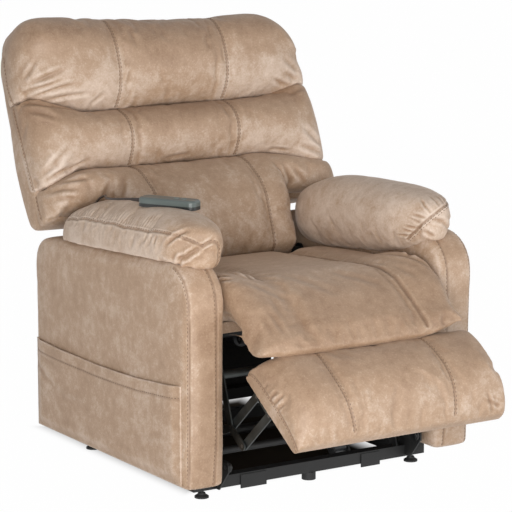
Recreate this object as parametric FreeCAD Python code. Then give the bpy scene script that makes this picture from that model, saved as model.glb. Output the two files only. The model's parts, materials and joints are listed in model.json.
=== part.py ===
# Lift recliner chair: a powered armchair that stands its user up and lays them back.
# Millimetres, +Z up, Z = 0 on the floor. The chair faces -Y and its own right side is -X.
# It is drawn half reclined, with Y = 0 at the front face of the arms, and moved to its origin last.

import FreeCAD, Part
import math
import os

Vec = FreeCAD.Vector

# Upholstered arms
OVERALL_WIDTH = 838.0        # outside of one arm to outside of the other
ARM_WIDTH = 105.0
ARM_DEPTH = 770.0
ARM_HEIGHT = 606.0           # top of the panel near its front
ARM_REAR_DROP = 38.0         # how much lower the panel's top is at the back
ARM_FRONT_RADIUS = 90.0
ARM_REAR_RADIUS = 50.0
ARM_EDGE_ROUND = 9.0
PAD_FRONT = 13.0             # tip of the arm pad behind the panel's front face
PAD_LENGTH = 583.0
PAD_OUTSET = 19.0            # pad proud of the panel's outer face
PAD_INSET = 60.0             # pad proud of the panel's inner face
PAD_TOP = 713.0              # crest of the pad near its front
PAD_REAR_DROP = 26.0
PAD_HANG = 60.0              # how far the pad hangs down the panel's inner face at its front
PAD_HANG_REAR = 102.0
POCKET_GAP = 6.5             # room in the side pocket
POCKET_CLOTH = 3.0
POCKET_FRONT = 20.0
POCKET_MOUTH = 298.0
POCKET_HEM = 8.0

# Seat and chaise
SEAT_TOP = 537.0
SEAT_REAR_DROP = 32.0
SEAT_REAR = 505.0
SEAT_HALF_WIDTH = 298.0
SEAT_BASE = 430.0            # underside of the seat's webbing
SEAT_FRAME_HALF = 280.0
SEAT_FRAME_FRONT = 125.0
SEAT_FRAME_REAR = 560.0
SEAT_FRAME_HEIGHT = 28.0
WEB_THICKNESS = 1.5
WEB_WIDTH = 50.0
SEAM_X = 165.0               # the two long seams of the back, the chaise and the footrest
SOFT_GAP = 0.5               # soft pieces stand this far off what moves past them
SEATED_GAP = 0.3             # soft pieces stand this far off what carries them
CHAISE_PIN = (40.0, 455.0)
CHAISE_RADIUS = 80.0
CHAISE_ROLL_HALF = 278.0
CHAISE_HALF_WIDTH = 284.0
CHAISE_REACH = 187.0         # tip of the chaise pad in front of the arms, half reclined

# Base frame
TUBE = 30.0                  # square tube
TUBE_WALL = 2.0
FOOT_HEIGHT = 20.0
ARM_CLEAR = 2.0              # the arms hang this far above the base
ARM_BOTTOM = FOOT_HEIGHT + TUBE + ARM_CLEAR
FOOT_DIAMETER = 36.0
BASE_HALF_WIDTH = 350.0
BASE_FRONT_Y = 89.0
BASE_REAR_Y = 640.0
BASE_RAIL_X = 285.0
FOOT_X = 318.0

# Lifting linkage, as (y, z) of its pins
PIN_BASE_REAR = (115.0, 83.0)
PIN_CHAIR_REAR = (627.0, 68.0)
PIN_BASE_FRONT = (35.0, 88.0)
PIN_CHAIR_FRONT = (460.0, 78.0)
LIFT_LINK_THICKNESS = 6.0
LIFT_PIN_RADIUS = 6.0
RUN_CLEAR = 0.06             # radial clearance of a running pin
LIFT_OPEN_CLEAR = 1.2        # radial clearance of the front link's upper pin
REAR_LINK_X = 269.0          # inner faces of the links
FRONT_LINK_X = 280.0
REAR_LINK_WIDTH = 28.0
FRONT_LINK_WIDTH = 26.0
RAIL_X = 290.0
RAIL_WIDTH = 20.0
RAIL_HEIGHT = 40.0
RAIL_Z = 56.0
RAIL_FRONT_Y = 135.0
RAIL_REAR_Y = 740.0
POST_FRONT_Y = 205.0
POST_REAR_Y = 560.0
CROSS_RADIUS = 12.5          # round cross tubes
CROSS_WALL = 2.5

# Actuators
LIFT_ACTUATOR_X = 115.0
LIFT_MOTOR_PIN = (141.0, 56.0)
LIFT_ROD_PIN = (282.0, 362.0)
LIFT_ROD_CLEAR = 5.2         # radial clearance of the rod's eye on the cross tube
RECLINE_ACTUATOR_X = -60.0
RECLINE_MOTOR_PIN = (300.0, 335.0)
RECLINE_ROD_PIN = (585.0, 340.0)
RECLINE_ROD_CLEAR = 4.0      # the rod's eye rocks on the lever's pin
RECLINE_ROD_TRAVEL = 23.0    # how far the recline rod draws in from the pose as drawn
ACTUATOR_PIN_RADIUS = 5.0
ACTUATOR_FORK = 20.0         # half the gap between the ears that hold an actuator
EAR_THICKNESS = 4.0

# Footrest and its linkage
BOARD_SLOPE = 33.3           # footrest board below the horizontal, degrees
BOARD_TOP = (-75.0, 335.0)   # rear upper edge of the board
BOARD_LENGTH = 245.0
BOARD_THICKNESS = 18.0
FOOT_HALF_WIDTH = 304.0
FOOT_PAD_CROWN = 99.0        # crown of the footrest cushion above its board
SWING_CENTRE = (-25.0, 510.0)  # the point that the footrest turns about
FRONT_SWING_PIN = (85.0, 412.0)
SWING_PIN_STEP = (60.0, -25.0)
LINK_WIDTH = 22.0
LINK_THICKNESS = 4.0
LINK_PIN_RADIUS = 5.0
OPEN_LINK_CLEAR = 0.1
BRACKET_DEPTH = 19.7         # pins of the footrest bracket behind the board
BRACKET_FIRST = 42.9         # first pin along the board from its upper edge
BRACKET_STEP = 65.7
PLATE_X = 296.0              # inner face of a mechanism plate
SWING_X = 290.0
COUPLER_X = 284.0
BRACKET_X = 278.0

# Backrest, in its own frame: up along the back and rearward, square to it
BACK_SLOPE = 27.0            # degrees from the vertical
BACK_ORIGIN = (520.0, 500.0)
BACK_PIN_PLACE = (18.6, 80.2)
BACK_TUBE_RADIUS = 10.5
BACK_LENGTH = 692.0
BACK_DEPTH = 206.0
WING_START = 175.0           # where the back widens over the arms
BACK_HALF_WIDTH = 430.0
BACK_TOP_HALF_WIDTH = 368.0
LOWER_HALF_WIDTH = 243.0
FRAME_FRONT = 141.0
POST_X = 222.0
POST_WIDTH = 25.0
POST_DEPTH = 22.0
SIDE_STRIP = 22.0
VALLEY_ONE = 460.0           # where the head and middle pillows meet, up along the back
VALLEY_TWO = 299.0
VALLEY_DEPTH = 72.0          # rearward of the back's own front plane

# Hand control on the chair's right arm pad
HANDSET_LENGTH = 160.0
HANDSET_WIDTH = 50.0
HANDSET_HEIGHT = 24.0
HANDSET_CENTRE = (-326.0, 237.0)
HANDSET_YAW = 30.0
HANDSET_Z = 709.8
BUTTON_RADIUS = 7.0
BUTTON_TRAVEL = 1.0
BUTTON_SPACING = 20.0
BUTTON_GAP = 0.3
CONTROL_BOX = (110.0, 230.0, 470.0, 560.0, 48.0)  # its X and Y ends, and its height
CORD_RADIUS = 3.0
RELIEF_LENGTH = 28.0

INNER_X = OVERALL_WIDTH / 2 - ARM_WIDTH
OUTER_X = OVERALL_WIDTH / 2
BASE_TOP = FOOT_HEIGHT + TUBE

parts = {}


def sin(degrees):
    return math.sin(math.radians(degrees))


def cos(degrees):
    return math.cos(math.radians(degrees))


def step_from(point, step):
    return (point[0] + step[0], point[1] + step[1])


def mirrored(shape):
    return shape.mirror(Vec(0, 0, 0), Vec(1, 0, 0))


def add(name, *shapes):
    parts[name] = shapes[0] if len(shapes) == 1 else Part.makeCompound(list(shapes))


def add_sides(stem, shape):
    # A shape drawn at +X is the chair's left piece, and its mirror image the right one.
    add(stem + "_left", shape)
    add(stem + "_right", mirrored(shape))


def add_pair(name, *shapes):
    add(name, *(list(shapes) + [mirrored(shape) for shape in shapes]))


def box(x0, x1, y0, y1, z0, z1):
    return Part.makeBox(x1 - x0, y1 - y0, z1 - z0, Vec(x0, y0, z0))


def rod_x(point, radius, x0, x1):
    return Part.makeCylinder(radius, x1 - x0, Vec(x0, point[0], point[1]), Vec(1, 0, 0))


def tube_x(point, radius, wall, half_width):
    outer = rod_x(point, radius, -half_width, half_width)
    return outer.cut(rod_x(point, radius - wall, -half_width - 1, half_width + 1))


def inner_headed_pin(point, radius, x0, x1):
    # A pin from x0 out to x1, with a flat head on its inner end.
    return rod_x(point, radius, x0, x1).fuse(rod_x(point, radius * 1.6, x0 - 2.0, x0))


def outline_x(points, x0, x1):
    # A closed outline of (y, z) points, thickened along X.
    corners = [Vec(x0, y, z) for y, z in points]
    return Part.Face(Part.makePolygon(corners + corners[:1])).extrude(Vec(x1 - x0, 0, 0))


def link_x(points, width, x0, thickness, bores):
    # A flat link through its pin centres, with round ends and its bores.
    x1 = x0 + thickness
    body = rod_x(points[0], width / 2, x0, x1)
    for a, b in zip(points, points[1:]):
        length = math.hypot(b[0] - a[0], b[1] - a[1])
        side = (-(b[1] - a[1]) / length * width / 2, (b[0] - a[0]) / length * width / 2)
        bar = outline_x([step_from(a, side), step_from(b, side), (b[0] - side[0], b[1] - side[1]),
                         (a[0] - side[0], a[1] - side[1])], x0, x1)
        body = body.fuse(bar).fuse(rod_x(b, width / 2, x0, x1))
    for point, radius in bores:
        body = body.cut(rod_x(point, radius, x0 - 1, x1 + 1))
    return body.removeSplitter()


def square_tube_x(y0, half_width):
    outer = box(-half_width, half_width, y0, y0 + TUBE, FOOT_HEIGHT, BASE_TOP)
    return outer.cut(box(-half_width - 1, half_width + 1, y0 + TUBE_WALL, y0 + TUBE - TUBE_WALL,
                         FOOT_HEIGHT + TUBE_WALL, BASE_TOP - TUBE_WALL))


def tube_y(x0, width, z0, height, y0, y1):
    outer = box(x0, x0 + width, y0, y1, z0, z0 + height)
    return outer.cut(box(x0 + TUBE_WALL, x0 + width - TUBE_WALL, y0 - 1, y1 + 1,
                         z0 + TUBE_WALL, z0 + height - TUBE_WALL))


def arc(a, b, c):
    return Part.Arc(a, b, c).toShape()


def line(a, b):
    return Part.makeLine(a, b)


def loft(sections):
    # Straight from each section to the next, so the soft solids stay light.
    return Part.makeLoft(sections, True, True)


def base_frame():
    front = square_tube_x(BASE_FRONT_Y, BASE_HALF_WIDTH)
    for x0, x1 in ((-214.0, -138.0), (150.0, 208.0)):
        front = front.fuse(box(x0, x1, BASE_FRONT_Y - 3, BASE_FRONT_Y, FOOT_HEIGHT - 9, BASE_TOP - 4))
    add("base_front_tube", front)
    add("base_rear_tube", square_tube_x(BASE_REAR_Y, BASE_HALF_WIDTH))
    add_pair("base_side_rails", tube_y(BASE_RAIL_X, TUBE, FOOT_HEIGHT, TUBE, BASE_FRONT_Y + TUBE, BASE_REAR_Y))


def lift_brackets():
    # The outer plate reaches forward to the front link's pin, the inner one stands on the tube.
    eye = 14.0
    front, rear = PIN_BASE_FRONT, PIN_BASE_REAR
    outer_x = FRONT_LINK_X + LIFT_LINK_THICKNESS + 2
    outer = outline_x([(BASE_FRONT_Y + TUBE, BASE_TOP), (BASE_FRONT_Y + TUBE, BASE_TOP + 12),
                       (front[0] + 10, front[1] + eye), (front[0] - 8, front[1] + eye),
                       (front[0] - eye, front[1] + 6), (front[0] - eye, front[1] - 10),
                       (BASE_FRONT_Y - 24, FOOT_HEIGHT + 4), (BASE_FRONT_Y, FOOT_HEIGHT + 4),
                       (BASE_FRONT_Y, BASE_TOP)], outer_x, outer_x + EAR_THICKNESS)
    outer = outer.cut(rod_x(front, LIFT_PIN_RADIUS, outer_x - 1, outer_x + EAR_THICKNESS + 1))
    inner_x = REAR_LINK_X - EAR_THICKNESS - 3
    inner = outline_x([(BASE_FRONT_Y, BASE_TOP), (BASE_FRONT_Y + TUBE, BASE_TOP),
                       (rear[0] + eye, rear[1] - 6), (rear[0] + eye, rear[1] + 6),
                       (rear[0] + 6, rear[1] + eye), (rear[0] - 6, rear[1] + eye),
                       (rear[0] - eye, rear[1] + 6)], inner_x, inner_x + EAR_THICKNESS)
    inner = inner.cut(rod_x(rear, LIFT_PIN_RADIUS, inner_x - 1, inner_x + EAR_THICKNESS + 1))
    add_pair("lift_brackets", outer, inner)
    motor_pin = rod_x(LIFT_MOTOR_PIN, ACTUATOR_PIN_RADIUS, LIFT_ACTUATOR_X - ACTUATOR_FORK - EAR_THICKNESS,
                      LIFT_ACTUATOR_X + ACTUATOR_FORK + EAR_THICKNESS)
    front_pin = inner_headed_pin(front, LIFT_PIN_RADIUS, FRONT_LINK_X - 0.5, outer_x + EAR_THICKNESS)
    rear_pin = rod_x(rear, LIFT_PIN_RADIUS, inner_x, REAR_LINK_X + LIFT_LINK_THICKNESS)
    add("base_pins", front_pin, rear_pin, mirrored(front_pin), mirrored(rear_pin), motor_pin)
    ears = []
    for x0 in (LIFT_ACTUATOR_X - ACTUATOR_FORK - EAR_THICKNESS, LIFT_ACTUATOR_X + ACTUATOR_FORK):
        y, z = LIFT_MOTOR_PIN
        ear = outline_x([(BASE_FRONT_Y + TUBE, FOOT_HEIGHT + 3), (y + 4, z - 14), (y + 13, z - 5),
                         (y + 13, z + 5), (y + 5, z + 13), (y - 8, z + 13), (BASE_FRONT_Y + TUBE, BASE_TOP)],
                        x0, x0 + EAR_THICKNESS)
        ears.append(ear.cut(rod_x(LIFT_MOTOR_PIN, ACTUATOR_PIN_RADIUS, x0 - 1, x0 + EAR_THICKNESS + 1)))
    add("lift_motor_clevis", *ears)


def feet():
    r = FOOT_DIAMETER / 2
    neck = 5.0
    outline = [Vec(0, 0, 0), Vec(r, 0, 0), Vec(r, 0, 4), Vec(r * 0.6, 0, 9), Vec(r * 0.5, 0, 13),
               Vec(neck, 0, 13), Vec(neck, 0, FOOT_HEIGHT), Vec(0, 0, FOOT_HEIGHT)]
    foot = Part.Face(Part.makePolygon(outline + outline[:1])).revolve(Vec(0, 0, 0), Vec(0, 0, 1), 360)
    spots = [(x, y + TUBE / 2) for x in (-FOOT_X, FOOT_X) for y in (BASE_FRONT_Y, BASE_REAR_Y)]
    add("levelling_feet", *[foot.translated(Vec(x, y, 0)) for x, y in spots])
    add("centre_foot", Part.makeCylinder(r, FOOT_HEIGHT, Vec(0, BASE_FRONT_Y + TUBE / 2, 0)))


def lift_links():
    bore = LIFT_PIN_RADIUS + RUN_CLEAR
    rear = link_x([PIN_BASE_REAR, PIN_CHAIR_REAR], REAR_LINK_WIDTH, REAR_LINK_X, LIFT_LINK_THICKNESS,
                  [(PIN_BASE_REAR, bore), (PIN_CHAIR_REAR, bore)])
    add_pair("rear_lift_links", rear)
    middle = ((PIN_BASE_REAR[0] + PIN_CHAIR_REAR[0]) / 2, (PIN_BASE_REAR[1] + PIN_CHAIR_REAR[1]) / 2)
    add("lift_torque_tube", tube_x(middle, CROSS_RADIUS, CROSS_WALL, REAR_LINK_X))
    front = link_x([PIN_BASE_FRONT, PIN_CHAIR_FRONT], FRONT_LINK_WIDTH, FRONT_LINK_X, LIFT_LINK_THICKNESS,
                   [(PIN_BASE_FRONT, bore), (PIN_CHAIR_FRONT, LIFT_PIN_RADIUS + LIFT_OPEN_CLEAR)])
    lug_top = (PIN_BASE_REAR[0] - 7, PIN_BASE_REAR[1] + 26)
    lug = link_x([(lug_top[0] - 6, PIN_BASE_FRONT[1]), lug_top], 20.0, FRONT_LINK_X, LIFT_LINK_THICKNESS, [])
    add_pair("front_lift_links", front.fuse(lug).removeSplitter())
    add("front_lift_tube", rod_x(lug_top, 9.0, -FRONT_LINK_X, FRONT_LINK_X))


def lift_post(y):
    # A channel between the mechanism plate and the arm, standing on the side rail.
    x0, x1, z1 = PLATE_X + LINK_THICKNESS, INNER_X, SEAT_BASE - 24
    post = box(x0, x1, y, y + 35, RAIL_Z + RAIL_HEIGHT, z1)
    return post.cut(box(x0 + 3, x1 - 3, y + 3, y + 36, RAIL_Z + RAIL_HEIGHT - 1, z1 + 1))


def lift_frame():
    add_pair("lift_side_rails", tube_y(RAIL_X, RAIL_WIDTH, RAIL_Z, RAIL_HEIGHT, RAIL_FRONT_Y, RAIL_REAR_Y))
    rear_y = RAIL_REAR_Y - 35
    outer = box(-RAIL_X, RAIL_X, rear_y, rear_y + 25, RAIL_Z + 4, RAIL_Z + 34)
    inner = box(-RAIL_X - 1, RAIL_X + 1, rear_y + 2, rear_y + 23, RAIL_Z + 6, RAIL_Z + 32)
    add("lift_rear_tube", outer.cut(inner))
    add_pair("lift_posts", lift_post(POST_FRONT_Y), lift_post(POST_REAR_Y))


def mechanism_plates():
    front, rear = FRONT_SWING_PIN, REAR_SWING_PIN
    back_y, back_z = BACK_PIN
    eye, top = 15.0, SEAT_BASE
    plate = outline_x([(front[0] - eye, front[1] + 6), (front[0] - 8, top), (back_y - 24, top),
                       (back_y - 18, back_z + 8), (back_y - 8, back_z + 18), (back_y + 8, back_z + 18),
                       (back_y + 18, back_z + 8), (back_y + 20, top - 20), (back_y - 10, top - 60),
                       (rear[0] + 120, rear[1] - 22), (rear[0] + 12, rear[1] - eye), (rear[0] - 10, rear[1] - eye),
                       (front[0] - 8, front[1] - eye), (front[0] - eye, front[1] - 8)],
                      PLATE_X, PLATE_X + LINK_THICKNESS)
    for point, radius in ((front, LINK_PIN_RADIUS), (rear, LINK_PIN_RADIUS),
                          (BACK_PIN, BACK_TUBE_RADIUS + RUN_CLEAR)):
        plate = plate.cut(rod_x(point, radius, PLATE_X - 1, PLATE_X + LINK_THICKNESS + 1))
    add_pair("mechanism_plates", plate)
    add("actuator_cross_tube", tube_x(LIFT_ROD_PIN, CROSS_RADIUS, CROSS_WALL, PLATE_X))
    hanger = outline_x([(LIFT_ROD_PIN[0] - 18, LIFT_ROD_PIN[1] - 18), (LIFT_ROD_PIN[0] + 18, LIFT_ROD_PIN[1] - 18),
                        (LIFT_ROD_PIN[0] + 18, top - 6), (LIFT_ROD_PIN[0] - 18, top - 6)], PLATE_X - 4, PLATE_X)
    hangers = [box(SEAT_FRAME_HALF, PLATE_X, y, y + 30, top - 24, top - 6) for y in (190.0, 480.0)]
    add_pair("plate_hangers", hanger.cut(rod_x(LIFT_ROD_PIN, CROSS_RADIUS, 0, PLATE_X + 1)), *hangers)
    outer = PLATE_X + LINK_THICKNESS
    pins = [inner_headed_pin(front, LINK_PIN_RADIUS, SWING_X - 0.5, outer),
            inner_headed_pin(rear, LINK_PIN_RADIUS, SWING_X - 0.5, outer),
            inner_headed_pin(PIN_CHAIR_REAR, LIFT_PIN_RADIUS, REAR_LINK_X - 0.5, RAIL_X),
            inner_headed_pin(PIN_CHAIR_FRONT, LIFT_PIN_RADIUS, FRONT_LINK_X - 0.5, RAIL_X)]
    motor_pin = rod_x(RECLINE_MOTOR_PIN, ACTUATOR_PIN_RADIUS, RECLINE_ACTUATOR_X - ACTUATOR_FORK - EAR_THICKNESS,
                      RECLINE_ACTUATOR_X + ACTUATOR_FORK + EAR_THICKNESS)
    add("frame_pins", *(pins + [mirrored(pin) for pin in pins] + [motor_pin]))


def arm_outline(x0, x1):
    r, q = ARM_FRONT_RADIUS, ARM_REAR_RADIUS
    top, rear_top = ARM_HEIGHT, ARM_HEIGHT - ARM_REAR_DROP
    depth, low = ARM_DEPTH, ARM_BOTTOM
    bend = sin(45)
    edges = [line(Vec(x0, 0, low), Vec(x0, 0, top - r)),
             arc(Vec(x0, 0, top - r), Vec(x0, r - r * bend, top - r + r * bend), Vec(x0, r, top)),
             line(Vec(x0, r, top), Vec(x0, depth - q, rear_top)),
             arc(Vec(x0, depth - q, rear_top), Vec(x0, depth - q + q * bend, rear_top - q + q * bend),
                 Vec(x0, depth, rear_top - q)),
             line(Vec(x0, depth, rear_top - q), Vec(x0, depth, low)),
             line(Vec(x0, depth, low), Vec(x0, 0, low))]
    return Part.Face(Part.Wire(edges)).extrude(Vec(x1 - x0, 0, 0))


def oval(y, x0, x1, z0, z1, square):
    # A soft rectangle across Y: four arcs that bulge out between its corners.
    cx, cz = (x0 + x1) / 2, (z0 + z1) / 2
    kx, kz = (x1 - x0) / 2 * square, (z1 - z0) / 2 * square
    corners = [Vec(cx - kx, y, cz - kz), Vec(cx + kx, y, cz - kz), Vec(cx + kx, y, cz + kz),
               Vec(cx - kx, y, cz + kz)]
    crowns = [Vec(cx, y, z0), Vec(x1, y, cz), Vec(cx, y, z1), Vec(x0, y, cz)]
    return Part.Wire([arc(corners[i], crowns[i], corners[(i + 1) % 4]) for i in range(4)])


def arms():
    panel = arm_outline(INNER_X, OUTER_X)
    edges = [edge for edge in panel.Edges if edge.BoundBox.XLength < 0.1 and edge.BoundBox.ZMax > ARM_BOTTOM + 1]
    add_sides("arm_panel", panel.makeFillet(ARM_EDGE_ROUND, edges))
    x0, x1 = INNER_X - PAD_INSET, OUTER_X + PAD_OUTSET
    front, rear = PAD_FRONT, PAD_FRONT + PAD_LENGTH
    top, rear_top = PAD_TOP, PAD_TOP - PAD_REAR_DROP
    low, rear_low = ARM_HEIGHT - PAD_HANG, ARM_HEIGHT - PAD_HANG_REAR
    cushion = loft([oval(front, x0 + 48, x1 - 52, low + 62, top - 36, 0.80),
                    oval(front + 22, x0 + 14, x1 - 16, low + 18, top - 10, 0.80),
                    oval(front + 80, x0 + 1, x1 - 1, low, top, 0.82),
                    oval(front + 0.36 * PAD_LENGTH, x0, x1, low - 14, top - 6, 0.84),
                    oval(rear - 130, x0, x1, rear_low + 8, rear_top + 4, 0.84),
                    oval(rear - 40, x0 + 6, x1 - 6, rear_low, rear_top - 12, 0.82),
                    oval(rear - 10, x0 + 22, x1 - 22, rear_low + 22, rear_top - 34, 0.80),
                    oval(rear, x0 + 48, x1 - 52, rear_low + 70, rear_top - 62, 0.80)])
    cushion = cushion.cut(arm_outline(INNER_X - SEATED_GAP, OUTER_X + 2 * PAD_OUTSET))
    add_sides("arm_pad", cushion)


def side_pocket():
    # A flat fabric pocket on the outside of the right arm, open along its sagging mouth.
    front, rear, low, mouth = POCKET_FRONT, ARM_DEPTH - 18, ARM_BOTTOM + 10, POCKET_MOUTH
    outer = outline_x([(front, low), (rear, low), (rear, mouth), (0.56 * rear, mouth - 9),
                       (0.27 * rear, mouth), (front, mouth + 18)], OUTER_X, OUTER_X + POCKET_GAP + POCKET_CLOTH)
    room = box(OUTER_X - 1, OUTER_X + POCKET_GAP, front + POCKET_HEM, rear - POCKET_HEM, low + POCKET_HEM,
               mouth + 40)
    add("side_pocket", mirrored(outer.cut(room)))


def seat():
    half, y0, y1 = SEAT_FRAME_HALF, SEAT_FRAME_FRONT, SEAT_FRAME_REAR
    low, top = SEAT_BASE - SEAT_FRAME_HEIGHT, SEAT_BASE
    wall, side = 25.0, 26.0
    side_rail = box(half - side, half, y0 + wall, y1 - wall, low, top)
    ends = [box(-half, half, y0, y0 + wall, low, top), box(-half, half, y1 - wall, y1, low, top)]
    add("seat_frame", *(ends + [side_rail, mirrored(side_rail)]))
    long_web = [box(x - WEB_WIDTH / 2, x + WEB_WIDTH / 2, y0, y1, top, top + WEB_THICKNESS)
                for x in (-200, -100, 0, 100, 200)]
    cross_web = [box(-half, half, y - WEB_WIDTH / 2, y + WEB_WIDTH / 2,
                     top + WEB_THICKNESS, top + 2 * WEB_THICKNESS)
                 for y in (190, 280, 370, 460)]
    add("seat_webbing", *(long_web + cross_web))
    base = top + 2 * WEB_THICKNESS + SEATED_GAP
    edge = SEAT_HALF_WIDTH
    front, rear = CHAISE_PIN[0] + 6, SEAT_REAR
    sections = []
    for x, drop, pull in ((-edge, 66, 14), (-edge + 26, 34, 4), (-edge + 62, 12, 0), (-SEAM_X, 5, 0), (0, 0, 0),
                          (SEAM_X, 5, 0), (edge - 62, 12, 0), (edge - 26, 34, 4), (edge, 66, 14)):
        z0, z1 = SEAT_TOP - drop, SEAT_TOP - SEAT_REAR_DROP - drop * 0.6
        back = rear - pull
        sections.append(Part.Wire([
            arc(Vec(x, front, z0), Vec(x, 0.45 * back, (z0 + z1) / 2 + 6), Vec(x, back - 30, z1)),
            arc(Vec(x, back - 30, z1), Vec(x, back - 7, z1 - 9), Vec(x, back, z1 - 26)),
            line(Vec(x, back, z1 - 26), Vec(x, back, base)),
            line(Vec(x, back, base), Vec(x, front, base)),
            line(Vec(x, front, base), Vec(x, front, z0))]))
    cushion = loft(sections)
    cushion = cushion.cut(rod_x(CHAISE_PIN, CHAISE_RADIUS + SOFT_GAP, -edge - 20, edge + 20))
    cushion = cushion.cut(box(-edge - 20, edge + 20, 0, CHAISE_PIN[0] + CHAISE_RADIUS,
                              SEAT_BASE - 60, CHAISE_PIN[1]))
    add("seat_cushion", max(cushion.Solids, key=lambda solid: solid.Volume))


def chaise():
    # A roll about the hinge, with a tongue that falls forward to the footrest.
    y, z = CHAISE_PIN
    r = CHAISE_RADIUS
    under = z - 51.0
    sections = []
    edge = CHAISE_HALF_WIDTH
    for x, drop in ((-edge, 22), (-edge + 16, 7), (-SEAM_X, 5), (0, 0), (SEAM_X, 5), (edge - 16, 7), (edge, 22)):
        tip = -CHAISE_REACH + 0.7 * drop
        top = Vec(x, y - r * sin(20), z + r * cos(20) - drop - 1)
        shoulder = Vec(x, tip + 26, z - 8 - 0.8 * drop)
        nose = Vec(x, tip + 22, under + 0.3 * drop)
        heel = Vec(x, y - 40, under + 0.3 * drop)
        sections.append(Part.Wire([
            arc(top, Vec(x, (y + tip) / 2 - 6, z + 42 - drop), shoulder),
            arc(shoulder, Vec(x, tip, z - 34 - 0.3 * drop), nose),
            line(nose, heel), line(heel, top)]))
    tongue = loft(sections)
    add("chaise_pad", tongue.fuse(rod_x(CHAISE_PIN, r, -CHAISE_ROLL_HALF, CHAISE_ROLL_HALF)).removeSplitter())


def on_board(along, outward):
    return (BOARD_TOP[0] - along * cos(BOARD_SLOPE) - outward * sin(BOARD_SLOPE),
            BOARD_TOP[1] - along * sin(BOARD_SLOPE) + outward * cos(BOARD_SLOPE))


# Each side of the footrest hangs on two equal parallelograms, so it turns about one fixed point.
CARRY_STEP = (SWING_CENTRE[0] - FRONT_SWING_PIN[0], SWING_CENTRE[1] - FRONT_SWING_PIN[1])
FIRST_PIN = on_board(BRACKET_FIRST, -BRACKET_DEPTH)
SECOND_PIN = on_board(BRACKET_FIRST + BRACKET_STEP, -BRACKET_DEPTH)
CROSS_PIN = (FIRST_PIN[0] - CARRY_STEP[0], FIRST_PIN[1] - CARRY_STEP[1])
LOWER_PIN = (SECOND_PIN[0] - CARRY_STEP[0], SECOND_PIN[1] - CARRY_STEP[1])
REAR_SWING_PIN = step_from(FRONT_SWING_PIN, SWING_PIN_STEP)
TAIL_PIN = step_from(CROSS_PIN, SWING_PIN_STEP)


def footrest_linkage():
    run, tight, loose = LINK_PIN_RADIUS + RUN_CLEAR, LINK_PIN_RADIUS, LINK_PIN_RADIUS + OPEN_LINK_CLEAR
    add_pair("front_swing_links", link_x([FRONT_SWING_PIN, CROSS_PIN, LOWER_PIN], LINK_WIDTH, SWING_X,
                                         LINK_THICKNESS, [(FRONT_SWING_PIN, run), (CROSS_PIN, run), (LOWER_PIN, run)]))
    add_pair("rear_swing_links", link_x([REAR_SWING_PIN, TAIL_PIN], LINK_WIDTH, SWING_X, LINK_THICKNESS,
                                        [(REAR_SWING_PIN, run), (TAIL_PIN, loose)]))
    share = 0.4
    middle = (REAR_SWING_PIN[0] + share * (TAIL_PIN[0] - REAR_SWING_PIN[0]),
              REAR_SWING_PIN[1] + share * (TAIL_PIN[1] - REAR_SWING_PIN[1]))
    add("recline_torque_tube", tube_x(middle, 11.0, 2.0, SWING_X))
    add_pair("coupler_links", link_x([TAIL_PIN, CROSS_PIN, FIRST_PIN], LINK_WIDTH, COUPLER_X, LINK_THICKNESS,
                                     [(point, tight) for point in (TAIL_PIN, CROSS_PIN, FIRST_PIN)]))
    add_pair("guide_links", link_x([LOWER_PIN, SECOND_PIN], LINK_WIDTH, COUPLER_X, LINK_THICKNESS,
                                   [(LOWER_PIN, tight), (SECOND_PIN, tight)]))
    outer = SWING_X + LINK_THICKNESS
    add_pair("coupler_rivets", rod_x(TAIL_PIN, tight, COUPLER_X, outer), rod_x(CROSS_PIN, tight, COUPLER_X, outer),
             inner_headed_pin(FIRST_PIN, tight, BRACKET_X - 0.5, COUPLER_X + LINK_THICKNESS))
    add_pair("guide_rivets", rod_x(LOWER_PIN, tight, COUPLER_X, outer),
             inner_headed_pin(SECOND_PIN, tight, BRACKET_X - 0.5, COUPLER_X + LINK_THICKNESS))


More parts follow.
